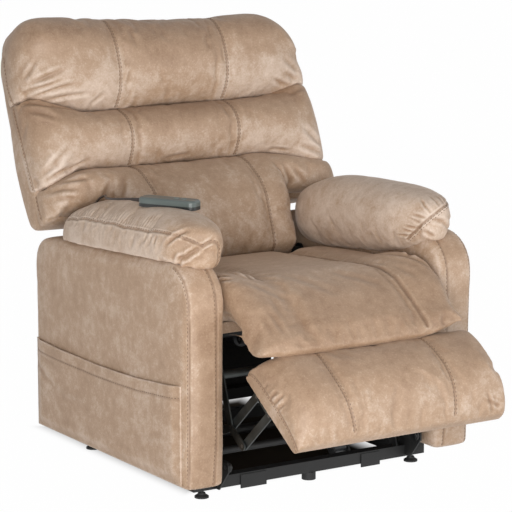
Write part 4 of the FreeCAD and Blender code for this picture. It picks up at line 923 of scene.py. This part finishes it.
class CHAIR_OT_arm_pads(bpy.types.Operator):
    """Two thick arm pads, gathered into a welt along the outside and over the nose."""
    bl_idname = "chair.arm_pads"
    bl_label = "Arm pads"

    def execute(self, context):
        for side, node in ((-1, "arm_pad_right"), (1, "arm_pad_left")):
            rings = []
            for y, inner, outer, low, high in through(PAD_SECTIONS, 52):
                high -= 9 * float(ease(y, 440, 560))
                y += 0.16 * max(0.0, y - 431) if side < 0 else 0.0
                tuck = 14 * float(ease(y, 20, 46) * (1 - ease(y, 62, 150))) if side > 0 else 0.0
                rings.append([(side * x, y, z) for x, y, z in pad_ring(y, inner, outer - tuck, low, high)])
            piece = skin(node + "_cloth", rings)
            self.notch(piece, side)
            soften(piece, 0.006, self.held, 3.5, 0.02, 0.010)
            self.sew_pad(piece, side)
            # Painted light: each pad is painted paler, less so towards its nose; the right pad's nose is painted a
            # little darker as shade.
            nose = ease(-layout_of(piece)[:, 1], -150, -40)
            finish_soft(piece, "chair", node, fill=0.8, painted_light=0.5 - (0.6 if side < 0 else 0.1) * nose)
        return {"FINISHED"}

    def notch(self, piece, side):
        """The pad straddles the arm: its inner part hangs down beside it."""
        outline = [(side * (INNER_X - 2), y, z) for y, z in arm_profile(-2)]
        tool = skin("arm_room", [outline, [(side * (OUTER_X + 60), y, z) for _, y, z in outline]])
        cut = piece.modifiers.new("arm room", "BOOLEAN")
        cut.object = tool
        cut.operation = "DIFFERENCE"
        cut.solver = "EXACT"
        bake_modifiers(piece)
        bpy.data.objects.remove(tool)

    def held(self, layout):
        """Held where the pad lies on the arm, and beside it."""
        x, z = np.abs(layout[:, 0]), layout[:, 2]
        on_arm = (x > INNER_X - 4) * ease(622 - z, 0, 14)
        beside = ease(x, INNER_X - 12, INNER_X - 5) * ease(612 - z, 0, 6)
        return np.clip(np.maximum(on_arm, beside), 0, 1)

    def sew_pad(self, piece, side):
        """The gathers along the welt and over the nose, the creases of the nose and the welt itself."""
        tailor = Tailor(piece)
        path = [(side * x, y, z) for x, y, z in through(WELT[side], 170)]
        rng = np.random.default_rng(7 if side > 0 else 8)
        along, nose = (4, 122) if side < 0 else (4, 84), (0, 0) if side < 0 else (104, 166)
        for x, y, z in path[along[0]:along[1]:3]:
            length = rng.uniform(20, 56)
            tailor.fold((x, y, z + 3), (x - side * length * 0.85, y + rng.uniform(-4, 10), z + length * 0.62),
                        depth=rng.uniform(1.2, 2.6), width=2.8, bow=rng.uniform(-0.08, 0.08))
        for i, (x, y, z) in enumerate(path[nose[0]:nose[1]:4]):
            length = rng.uniform(46, 80) * (1.0 - 0.4 * i / 16)
            tailor.fold((x - side * 2, y + 4, z), (x - side * 0.10 * length, y + length, z + rng.uniform(-4, 10)),
                        depth=rng.uniform(1.8, 3.2), width=3.2)
        pinch = (side * PINCH[0], PINCH[1], PINCH[2])
        if side < 0:
            creases = ((364, 21, 652, 9, 5.5), (398, 40, 606, 4, 5.0))
            tailor.fold((-372, 22, 650), (-334, 20, 668), depth=4, width=4.0)
            tailor.fold((-428, 90, 650), (-394, 40, 696), depth=6, width=4.5)
            for y in (128, 150, 176):
                tailor.fold((-433, y, 670), (-435, y + 5, 642), depth=2.4, width=4.0)
            seam = [(-364, 21, 652), (-344, 17, 660), (-328, 20, 656), (-320, 22, 636), (-319, 22, 612),
                    (-323, 24, 592)]
            tailor.sew(even(tailor.laid(through(seam, 40)), SEAM_STEP), depth=2.6, width=3.0, rows=(3.6,), ridge=0.4)
        else:
            creases = ((420, 70, 640, 4, 6.0), (404, 48, 648, 4, 6.0), (384, 30, 640, 4, 6.0))
            tailor.fold((316, 26, 652), (366, 22, 626), depth=4, width=5.0, bow=-0.12)
            tailor.fold((300, 40, 622), (330, 26, 606), depth=3, width=5.0)
        for x, y, z, deep, wide in creases:
            tailor.fold(pinch, (side * x, y, z), depth=deep, width=wide, bow=0.05)
        tailor.sew(even(tailor.laid(path), SEAM_STEP), depth=3.2, width=3.0, rows=(3.8,) if side < 0 else (3.8, 8.0),
                   ridge=0.5)
        tailor.done()


# Seat, chaise and footrest

SEAT_OUTLINE = [
    # along the seat and height of its top, from the tip of the chaise to the back
    (-160, 402), (-165, 411), (-158, 424), (-138, 440), (-100, 466), (-46, 503), (10, 529), (75, 537), (160, 531),
    (300, 520), (430, 509), (486, 501), (503, 480),
]
SEAT_UNDER = [(-156, 396), (-138, 390), (-125, 389), (-107, 389), (-90, 392), (-63, 398), (-33, 403), (0, 412),
              (40, 426), (70, 432), (130, 437), (250, 437), (400, 437), (503, 437)]
SEAT_HALF = 303.0
# Folds of the seat and chaise: start and end as (x, y), depth and width in mm.
SEAT_FOLDS = [((-214, 112), (-206, 44), 13, 6), ((-288, 96), (-262, 62), 4, 6), ((-290, 60), (-268, 34), 3, 6),
              ((-258, -152), (-262, -96), 3, 9), ((-232, -154), (-240, -92), 3, 10), ((-206, -40), (-214, -120), 2, 10),
              ((290, 70), (262, 40), 4, 7), ((200, 24), (226, -60), 2, 9), ((230, 110), (286, -40), 4, 9),
              ((-250, 20), (-150, -60), 2, 12), ((-120, 60), (-20, -70), 2, 14), ((20, 40), (120, -60), 2, 12)]


def seat_rise(x, y):
    """The filling squeezed up against the arms over the chaise's hinge."""
    return 14 * float(ease(abs(x), 178, 262) * ease(y, -120, -60) * (1 - ease(y, 100, 200)))


def flap_under(x, y, z):
    """The underside at the chaise's edges, where its cloth is drawn up to the seat."""
    drawn = float(np.interp(y, [-165, -125, -107, -90, -63, -33, 0, 40, 70, 130],
                            [404, 398, 400, 418, 437, 461, 476, 474, 458, 437]))
    corner = 18 * float(ease(x, 140, 296) * ease(-y, 60, 130))
    return max(z, z + (drawn - z) * float(ease(abs(x), 210, 284))) + corner


class CHAIR_OT_seat(bpy.types.Operator):
    """One seat and chaise pad, shaped over the chaise's hinge."""
    bl_idname = "chair.seat"
    bl_label = "Seat and chaise"

    def execute(self, context):
        rings = []
        for turn in np.linspace(-90, 90, 61):
            x = SEAT_HALF * math.sin(math.radians(turn))
            top, under = [], []
            for y, z in through(SEAT_OUTLINE, 64):
                front = float(ease(60 - y, 0, 90))
                roll = 26 + (34 if x < 0 else 4) * front
                near = max(0.0, (abs(x) - (SEAT_HALF - roll)) / roll)
                full = max(0.0, 1 - near ** (2.6 - 0.5 * front)) ** 0.5
                base = flap_under(x, y, float(np.interp(y, *zip(*SEAT_UNDER))))
                seam = 3.0 * math.exp(-((x - SEAM_X) / 22) ** 2)
                height = base + 6 + (z + seat_rise(x, y) - base - 6) * (0.16 + 0.84 * full) - seam
                top.append((y + 9 * (1 - full) if y < 0 else y - 7 * (1 - full), max(height, base + 4)))
            for y, z in SEAT_UNDER:
                under.append((y, flap_under(x, y, z)))
            under[0] = (max(under[0][0], top[0][0] + 2), under[0][1])
            ring = np.vstack([top, through([top[-1], under[-1]], 6)[1:-1], through(under[::-1], 56),
                              through([under[0], top[0]], 5)[1:-1]])
            rings.append([(x - 8 * float(ease(-y, 20, 150)), y, z) for y, z in ring])
        piece = cushion("seat_and_chaise", rings, voxel=0.0068, held=self.held, pressure=3.0, slack=0.02, cap=0.012)
        tailor = Tailor(piece)
        for start, end, deep, wide in SEAT_FOLDS:
            tailor.crease((*start, 600), (*end, 600), (0, -0.1, 1), deep, wide, 0.6, 0.35)
        valley = [(SEAM_X + 12 * float(ease(-y, -160, -40)), y, 600) for y in np.linspace(-156, 470, 120)]
        tailor.sew(tailor.cast(valley, (0, 0, 1)), depth=4.0, width=4.4, rows=())
        tailor.sew(tailor.cast([(-SEAM_X, y, 600) for y in np.linspace(60, 470, 90)], (0, 0, 1)), depth=1.5, rows=())
        tailor.done()
        # Painted shade: the seat painted darker towards its rear under the lumbar pillow, and the chaise darker towards
        # its front.
        along = layout_of(piece)[:, 1]
        finish_soft(piece, None, "seat_cushion", "chaise_pad", fill=0.6,
                    painted_light=-0.25 * ease(along, 100, 260) - 0.36 * ease(-along, -80, 60))
        start, end = place([(0, 110, 500), (0, -20, 470)])
        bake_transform(piece)
        return {"FINISHED"}

    def held(self, layout):
        """The underside and the long seams are held."""
        under = ease(440 - layout[:, 2], 0, 14) * (layout[:, 1] > 30) + ease(412 - layout[:, 2], 0, 8)
        seam = 0.6 * np.exp(-((np.abs(layout[:, 0]) - SEAM_X) / 8) ** 2)
        return np.clip(np.maximum(under, seam), 0, 1)


FOOT_PROFILE = [(-3, 20), (1, 52), (16, 82), (42, 101), (82, 110), (135, 112), (172, 108), (204, 97), (232, 76),
                (252, 53), (261, 34), (257, 12)]
FOOT_HALF = 305.0
WRAP = 24.0


class CHAIR_OT_footrest(bpy.types.Operator):
    """The footrest's pad, wrapped round its board, with two long seams and a flat side strip."""
    bl_idname = "chair.footrest"
    bl_label = "Footrest pad"

    def execute(self, context):
        rings = []
        for turn in np.linspace(-90, 90, 67):
            roll, least = (92.0, 0.30) if turn < 0 else (12.0, 0.86)
            x = FOOT_HALF * math.sin(math.radians(turn))
            near = max(0.0, (abs(x) - (FOOT_HALF - roll)) / roll)
            full = max(0.0, 1 - near ** 2.4) ** 0.5
            dip = 0.03 * math.exp(-((abs(x) - 158) / 24) ** 2)
            top = [(a, 8 + (o - 8) * (least + (1 - least) * full) * (1 - dip)) for a, o in FOOT_PROFILE]
            below = -1.3 if abs(x) > FOOT_HALF - WRAP else 5.0
            under = [(251, -1.3), (251 - WRAP, -1.3), (249 - WRAP, below), (WRAP - 2, below), (WRAP - 4, -1.3),
                     (-3, -1.3)]
            ring = np.vstack([through(top, 64), through([top[-1], under[0]], 5)[1:-1]]
                             + [through([a, b], 6)[:-1] for a, b in zip(under, under[1:])]
                             + [through([under[-1], top[0]], 6)[:-1]])
            rings.append([on_board(x, a, o) for a, o in ring])
        piece = cushion("footrest_cushion", rings, voxel=0.005, held=self.held, pressure=3.0, slack=0.015, cap=0.010)
        co = points_of(piece)
        # The ends stay clear of the arms when the footrest folds away between them.
        reach = np.abs(co[:, 0])
        reach = np.minimum(np.where(reach > 0.300, 0.300 + 0.5 * (reach - 0.300), reach), 0.308)
        co[:, 0] = np.sign(co[:, 0]) * reach
        set_points(piece, co)
        tailor = Tailor(piece)
        out = (0, -math.sin(BOARD_SLOPE), math.cos(BOARD_SLOPE))
        for start, end, deep in (((-304, 104, 36), (-284, 108, 66), 4), ((-304, 124, 36), (-280, 130, 72), 4),
                                 ((-304, 142, 36), (-286, 148, 66), 3), ((-304, 72, 34), (-288, 74, 60), 2),
                                 ((290, 236, 40), (236, 240, 70), 3), ((262, 258, 40), (246, 226, 82), 3)):
            tailor.fold(on_board(*start), on_board(*end), depth=deep, width=4.0)
        for side in (-1, 1):
            bend = [on_board(side * (148 + 12 * math.sin(math.pi * a / 250)), a, 160) for a in np.linspace(6, 254, 70)]
            tailor.sew(tailor.cast(bend, out))
            rise = 0.30 if side < 0 else 0.90
            edge = [on_board(side * FOOT_HALF, a, 8 + (o - 8) * rise) for a, o in FOOT_PROFILE]
            tailor.sew(tailor.laid(through(edge, 80)), depth=2.0, width=2.8, rows=(4.0 * side,))
        tailor.done()
        # Painted shade: the footrest is painted darker, most towards its top and least at its lower end.
        low = BOARD_TOP[1] - layout_of(piece)[:, 2]
        finish_soft(piece, "footrest", "footrest_pad", fill=0.75, painted_light=0.32 * ease(low, -40, 60) - 0.34)
        return {"FINISHED"}

    def held(self, layout):
        """The side on the board and the long seams are held."""
        y, z = layout[:, 1] - BOARD_TOP[0], layout[:, 2] - BOARD_TOP[1]
        out = -y * math.sin(BOARD_SLOPE) + z * math.cos(BOARD_SLOPE)
        seam = 0.7 * np.exp(-((np.abs(layout[:, 0]) - 156) / 8) ** 2)
        return np.clip(np.maximum(ease(34 - out, 0, 10), seam), 0, 1)


class CHAIR_OT_pocket(bpy.types.Operator):
    """A flat pocket of suede on the outside of the chair's right arm, its mouth turned in and hemmed."""
    bl_idname = "chair.pocket"
    bl_label = "Side pocket"

    def execute(self, context):
        front, rear, low = 20.0, 752.0, 62.0

        def mouth(y):
            return float(np.interp(y, [20, 209, 429, 600, 752], [314, 297, 290, 293, 297]))

        def proud(y, t):
            edge = min(y - front, rear - y)
            room = 8.2 * float(ease(edge, 0, 34)) * float(ease(t, 0.0, 0.12)) + 0.8
            sag = 1.6 * math.sin(0.021 * y + 1.5) * float(ease(t, 0.5, 1.0)) * float(ease(edge, 20, 120))
            return room + sag

        def spot(layer, s, t):
            y = front + (rear - front) * s
            z = low + (mouth(y) - low) * t
            lip = 1.2 * float(ease(t, 0.985, 1.0))
            x = OUTER_X + float(arm_bulge(y, z, -1)) + proud(y, t) + (0.0 if layer else 2.2 + lip)
            return place((-x, y, z))

        piece = two_sided("side_pocket_cloth", 120, 46, spot)
        tailor = Tailor(piece)
        for points, deep in (([(752, 236), (700, 206), (640, 188)], 2.4), ([(748, 268), (690, 246), (600, 240)], 1.8),
                             ([(430, 190), (540, 178), (640, 196)], -1.8), ([(60, 176), (130, 158), (190, 150)], -1.6)):
            fold = [(-(OUTER_X + 20), y, z) for y, z in through(points, 40)]
            tailor.press(tailor.cast(fold, (-1, 0, 0)), deep, 9.0, 0.3, taper=True, shade=0.15)
        tailor.sew(tailor.cast([(-(OUTER_X + 20), y, mouth(y) - 31) for y in np.linspace(24, 748, 120)], (-1, 0, 0)),
                   depth=1.2, rows=(0.0,), ridge=0.2)
        tailor.done()
        cover_in_suede(piece, "chair", "side_pocket")
        return {"FINISHED"}


class CHAIR_OT_skirt(bpy.types.Operator):
    """The cloth panel that closes the chair's rear, and the webbing under the seat."""
    bl_idname = "chair.skirt"
    bl_label = "Rear skirt and webbing"

    def execute(self, context):
        low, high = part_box("rear_skirt")

        def spot(layer, s, t):
            ripple = 0.0016 * math.sin(9.0 * s + 2.0 * t) * math.sin(math.pi * s) * math.sin(math.pi * t)
            y = (high.y - 0.002 if layer else low.y + 0.002) + ripple
            return low.x + (high.x - low.x) * s, y, low.z + (high.z - low.z) * t

        piece = two_sided("rear_skirt_cloth", 90, 60, spot)
        tailor = Tailor(piece)
        for height in (72, 500):
            tailor.sew(tailor.cast([(x, 780, height) for x in np.linspace(-308, 308, 120)], (0, 1, 0)), depth=1.0,
                       width=3.0, rows=(0.0,), ridge=0.2)
        tailor.done()
        cover_in_suede(piece, "chair", "rear_skirt")
        piece.data.materials.append(bpy.data.materials["black lining cloth"])
        for face in piece.data.polygons:
            face.material_index = 1 if face.normal.y < -0.5 else 0
        self.decking()
        self.webbing()
        return {"FINISHED"}

    def decking(self):
        """Cloth stretched over the webbing behind the seat, which closes the gap below the back."""
        low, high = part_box("seat_webbing")
        front = ARM_FRONT + 0.499
        left, across, along = low.x + 0.006, high.x - low.x - 0.012, high.y - 0.004 - front

        def spot(layer, s, t):
            crown = 0.002 * math.sin(math.pi * s) * math.sin(math.pi * t)
            return left + across * s, front + along * t, high.z + (0.0026 if layer else 0.0010) + crown

        piece = two_sided("seat_decking", 60, 12, spot)
        # Painted shade: the decking under the back is painted darker.
        cover_in_suede(piece, "chair", painted_light=-0.3)

    def webbing(self):
        """Bands laced over and under each other, sagging a little between the seat's rails."""
        low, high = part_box("seat_webbing")
        verts, faces = [], []

        def band(start, end, side, phase):
            steps, half = 60, 0.025
            base = len(verts)
            for i in range(steps + 1):
                t = i / steps
                spot = Vector(start).lerp(Vector(end), t)
                wave = 0.0006 * math.cos(math.pi * (phase + 8 * t))
                for sign in (-1, 1):
                    for layer in (-0.0005, 0.0005):
                        p = spot + Vector(side) * sign * half
                        verts.append((p.x, p.y, (low.z + high.z) / 2 + wave + layer))
            for i in range(steps):
                a = base + 4 * i
                faces.extend([(a, a + 4, a + 6, a + 2), (a + 1, a + 3, a + 7, a + 5), (a, a + 1, a + 5, a + 4),
                              (a + 2, a + 6, a + 7, a + 3)])
            a = base + 4 * steps
            faces.extend([(base, base + 2, base + 3, base + 1), (a, a + 1, a + 3, a + 2)])
        for i, x in enumerate((-0.2, -0.1, 0.0, 0.1, 0.2)):
            band((x, low.y, 0), (x, high.y, 0), (1, 0, 0), i)
        for i, y in enumerate((190, 280, 370, 460)):
            y = y / 1000 + ARM_FRONT
            band((low.x, y, 0), (high.x, y, 0), (0, 1, 0), i + 1)
        piece = new_object("seat_webbing_bands", verts, faces)
        make_outward(piece)
        piece.data.materials.append(bpy.data.materials["woven elastic webbing"])
        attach(piece, "chair")
        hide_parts("seat_webbing")


# Stitches, laid along every sewn row by geometry nodes

def stitch_tree():
    """Lays a stitch at every pitch along a row of points."""
    tree = bpy.data.node_groups.new("stitches along a seam", "GeometryNodeTree")
    sockets = {}
    for name, kind in (("Geometry", "Geometry"), ("Pitch", "Float"), ("Length", "Float"), ("Width", "Float"),
                       ("Material", "Material")):
        socket = tree.interface.new_socket(name, in_out="INPUT", socket_type="NodeSocket" + kind)
        sockets[name] = socket.identifier
    tree.interface.new_socket("Geometry", in_out="OUTPUT", socket_type="NodeSocketGeometry")
    add = partial(add_node, tree)
    start = add("NodeGroupInput").outputs
    path = add("GeometryNodeMeshToCurve", {"Mesh": start["Geometry"]})
    spots = add("GeometryNodeResampleCurve", {"Curve": path, "Length": start["Pitch"]}, mode="LENGTH")
    stops = add("GeometryNodeCurveToPoints", {"Curve": spots}, mode="EVALUATED")
    rod = add("GeometryNodeMeshUVSphere", {"Segments": 6, "Rings": 5, "Radius": 0.5})
    shape = add("ShaderNodeCombineXYZ", {0: start["Width"], 1: start["Width"], 2: start["Length"]})
    capsule = add("GeometryNodeTransform", {"Geometry": rod, "Scale": shape})
    turn = add("FunctionNodeAlignRotationToVector", {"Vector": stops.outputs["Tangent"]}, axis="Z")
    laid = add("GeometryNodeInstanceOnPoints", {"Points": stops, "Instance": capsule, "Rotation": turn})
    real = add("GeometryNodeRealizeInstances", {"Geometry": laid})
    coated = add("GeometryNodeSetMaterial", {"Geometry": real, "Material": start["Material"]})
    add("NodeGroupOutput", {"Geometry": coated})
    return tree, sockets


class CHAIR_OT_stitches(bpy.types.Operator):
    """Rows of top stitching beside the seams, one mesh for each moving part of the chair."""
    bl_idname = "chair.stitches"
    bl_label = "Top stitching"

    def execute(self, context):
        looks = context.scene.chair_cloth
        tree, sockets = stitch_tree()
        bodies = {"head_cushion": "back", "middle_cushion": "back", "lumbar_cushion": "back", "outer_back": "back",
                  "footrest_cushion": "footrest"}
        groups = {}
        for name, row in SEAM_ROWS:
            groups.setdefault(bodies.get(name, "chair"), []).append(row)
        for body, rows in groups.items():
            verts = np.vstack(rows)
            edges, start = [], 0
            for row in rows:
                edges += [(start + i, start + i + 1) for i in range(len(row) - 1)]
                start += len(row)
            mesh = bpy.data.meshes.new(body + "_stitching")
            mesh.from_pydata([tuple(v) for v in verts], edges, [])
            piece = bpy.data.objects.new(body + "_stitching", mesh)
            context.scene.collection.objects.link(piece)
            modifier = piece.modifiers.new("stitches", "NODES")
            modifier.node_group = tree
            for name, value in (("Pitch", looks.stitch_pitch), ("Length", looks.stitch_length),
                                ("Width", looks.thread_width),
                                ("Material", bpy.data.materials["bonded polyester thread"])):
                modifier[sockets[name]] = value
            bake_modifiers(piece)
            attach(piece, body)
        return {"FINISHED"}


# Hand control

CORD_POINTS = [(-380.0, 330.53, 721.8), (-391.0, 349.58, 720.8), (-400, 384, 716), (-397, 428, 711), (-376, 470, 708),
               (-354, 508, 703), (-345, 545, 694), (-343, 576, 676), (-344, 598, 652), (-345, 608, 625),
               (-345, 608, 586.8)]


class CHAIR_OT_control(bpy.types.Operator):
    """Finishes the hand control's shells, keys and cord."""
    bl_idname = "chair.control"
    bl_label = "Hand control and cord"

    def execute(self, context):
        give(("handset_upper_shell",), "moulded grey plastic, fine grain")
        give(("handset_lower_shell",), "moulded dark plastic with painted shade, fine grain")
        give(("raise_button", "lower_button"), "soft moulded keys")
        give(("cord_strain_relief", "cord_gland"), "extruded cord jacket")
        spots = place(CORD_POINTS)
        curve = bpy.data.curves.new("handset_cord_round", "CURVE")
        curve.dimensions = "3D"
        curve.bevel_depth = 0.003
        curve.bevel_resolution = 4
        curve.resolution_u = 8
        run = curve.splines.new("NURBS")
        run.points.add(len(spots) - 1)
        for point, spot in zip(run.points, spots):
            point.co = (*spot, 1.0)
        run.order_u = 3
        run.use_endpoint_u = True
        cord = bpy.data.objects.new("handset_cord_round", curve)
        context.scene.collection.objects.link(cord)
        curve.materials.append(bpy.data.materials["extruded cord jacket"])
        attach(cord, "chair")
        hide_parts("handset_cord")
        return {"FINISHED"}


def give(nodes, material):
    """Gives CAD nodes a finish."""
    for name in nodes:
        data = frame["nodes"][name].data
        data.materials.clear()
        data.materials.append(bpy.data.materials[material])


class CHAIR_OT_materials(bpy.types.Operator):
    """Makes every finish of the chair."""
    bl_idname = "chair.materials"
    bl_label = "Materials"

    def execute(self, context):
        scene = context.scene
        suede_material(scene.chair_cloth)
        thread_material(scene.chair_cloth)
        metal, control = scene.chair_metal, scene.chair_control
        # Powder coat bakes to a satin skin with a faint orange peel.
        worn_metal("powder coated steel, satin black", metal.coat_colour, "#050505", 0.0, 0.6, 1.5, bump=0.12)
        # Zinc plate goes dull and cloudy, with the strip's rolling lines still in it.
        worn_metal("zinc plated steel strip", metal.zinc_colour, "#3f4241", 1.0, 0.5, 2.0, streak=12.0, bump=0.10)
        # Turned and plated pins stay brighter than the strip.
        worn_metal("bright zinc pins", "#7e8082", "#5f6163", 1.0, 0.34, 1.0, bump=0.05)
        worn_metal("drawn aluminium tube", "#77787a", "#606163", 1.0, 0.36, 0.8, streak=30.0, bump=0.06)
        moulded("moulded motor housing", "#1b1c1e", "#111214", 0.5, 0.8, 0.25)
        moulded("moulded foot rubber", "#1c1c1c", "#101010", 0.7, 0.9, 0.3)
        moulded("moulded grey plastic, fine grain", control.shell_colour, "#505855", 0.36, 0.6, 0.12)
        # Dark plastic, darkened further as painted shade.
        moulded("moulded dark plastic with painted shade, fine grain", control.lower_shell_and_shade_colour, "#171918", 0.4, 0.6, 0.12)
        moulded("soft moulded keys", control.key_colour, "#6d7874", 0.6, 0.7, 0.1)
        moulded("extruded cord jacket", control.cord_colour, "#211813", 0.45, 0.6, 0.05)
        plywood_material()
        webbing_material()
        lining_material()
        return {"FINISHED"}


class CHAIR_OT_mechanism(bpy.types.Operator):
    """Gives the frame, linkage, motors and feet their finishes."""
    bl_idname = "chair.mechanism"
    bl_label = "Frame and linkage"

    def execute(self, context):
        slots = {row["node"]: row["material_slot"] for row in frame["record"]["subparts"]}
        finish_of = {"black_steel": "powder coated steel, satin black", "zinc_steel": "zinc plated steel strip",
                     "bright_pins": "bright zinc pins", "rod_steel": "drawn aluminium tube",
                     "motor_plastic": "moulded motor housing", "foot_rubber": "moulded foot rubber",
                     "plywood": "raw birch plywood"}
        for node, slot in slots.items():
            if slot in finish_of:
                give((node,), finish_of[slot])
        # The seat frame's rails are wrapped in the cover's own cloth.
        give(("seat_frame",), SUEDE)
        return {"FINISHED"}


# Where the camera's axis meets the picture, in pixels from its left and top.
PICTURE_AXIS = (255.993, 257.254)


class CHAIR_OT_stage(bpy.types.Operator):
    """White floor, soft studio light and the camera."""
    bl_idname = "chair.stage"
    bl_label = "Studio"

    def execute(self, context):
        studio = context.scene.chair_studio
        size = 30.0
        floor = new_object("floor", [(-size, -size, 0), (size, -size, 0), (size, size, 0), (-size, size, 0)],
                           [(0, 1, 2, 3)])
        # Painted shade on the floor under the chair, from behind the arms' front to past the rear skirt.
        shade = (ARM_FRONT + 0.16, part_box("rear_skirt")[1].y + 0.16)
        painted_shade_box = (INNER_X / 1000 + 0.016, (shade[1] - shade[0]) / 2, (shade[0] + shade[1]) / 2)
        floor_material(painted_shade_box)
        floor.data.materials.append(bpy.data.materials["white paper floor"])
        self.room(context.scene, studio)
        self.lamp("front_softbox", (-2.3, -3.6, 0.85), (0, 0, 0.55), (2.8, 1.6), studio.key_power)
        self.lamp("right_softbox", (2.6, -3.0, 1.0), (0, 0, 0.55), (1.6, 1.6), studio.fill_power)
        self.camera(context.scene, studio)
        return {"FINISHED"}

    def room(self, scene, studio):
        world = bpy.data.worlds.new("studio room")
        scene.world = world
        world.use_nodes = True
        world.node_tree.nodes.clear()
        add = partial(add_node, world.node_tree)
        way = add("ShaderNodeSeparateXYZ", {0: add("ShaderNodeTexCoord").outputs["Generated"]})
        dim = add("ShaderNodeMapRange", {"Value": way.outputs["Z"], "From Min": 0.0, "From Max": 0.8,
                                         "To Min": 1.6 * studio.room_light, "To Max": 0.9 * studio.room_light})
        soft = add("ShaderNodeBackground", {"Color": (1, 1, 1, 1), "Strength": dim})
        white = add("ShaderNodeBackground", {"Color": (1, 1, 1, 1), "Strength": 1.0})
        mixed = add("ShaderNodeMixShader", {0: seen_by_camera(add), 1: soft, 2: white})
        add("ShaderNodeOutputWorld", {"Surface": mixed})

    def lamp(self, name, spot, target, size, power):
        data = bpy.data.lights.new(name, "AREA")
        data.shape = "RECTANGLE"
        data.size, data.size_y = size
        data.energy = power
        lamp = bpy.data.objects.new(name, data)
        bpy.context.scene.collection.objects.link(lamp)
        lamp.location = spot
        lamp.rotation_euler = (Vector(target) - Vector(spot)).to_track_quat("-Z", "Y").to_euler()

    def camera(self, scene, studio):
        data = bpy.data.cameras.new("camera")
        camera = bpy.data.objects.new("camera", data)
        scene.collection.objects.link(camera)
        camera.location = Vector(place(studio.camera_place[:]))
        camera.rotation_euler = (math.pi / 2 - studio.camera_dip, 0, -studio.camera_turn)
        data.lens = studio.lens
        data.sensor_width = 36.0
        data.clip_end = 100
        centre = studio.picture_size / 2
        data.shift_x = (centre - PICTURE_AXIS[0]) / studio.picture_size
        data.shift_y = (PICTURE_AXIS[1] - centre) / studio.picture_size
        scene.camera = camera
        scene.view_settings.view_transform = "Standard"


class CHAIR_PT_panel(bpy.types.Panel):
    """The steps that build the chair, in order."""
    bl_idname = "CHAIR_PT_panel"
    bl_label = "Lift recliner chair"
    bl_space_type = "VIEW_3D"
    bl_region_type = "UI"
    bl_category = "Chair"

    def draw(self, context):
        for step in STEPS:
            self.layout.operator(step.bl_idname)


STEPS = (CHAIR_OT_materials, CHAIR_OT_stage, CHAIR_OT_mechanism, CHAIR_OT_control, CHAIR_OT_back, CHAIR_OT_arms,
         CHAIR_OT_arm_pads, CHAIR_OT_seat, CHAIR_OT_footrest, CHAIR_OT_pocket, CHAIR_OT_skirt, CHAIR_OT_stitches)
GROUPS = {"chair_cloth": ChairCloth, "chair_metal": ChairMetal, "chair_control": ChairControl,
          "chair_studio": ChairStudio}


def register():
    for name, group in GROUPS.items():
        bpy.utils.register_class(group)
        setattr(bpy.types.Scene, name, PointerProperty(type=group))
    for item in STEPS + (CHAIR_PT_panel,):
        bpy.utils.register_class(item)


def unregister():
    for item in reversed(STEPS + (CHAIR_PT_panel,)):
        bpy.utils.unregister_class(item)
    for name, group in GROUPS.items():
        delattr(bpy.types.Scene, name)
        bpy.utils.unregister_class(group)


def main():
    register()
    for step in STEPS:
        getattr(bpy.ops.chair, step.bl_idname.split(".")[1])()


if __name__ == "__main__":
    main()
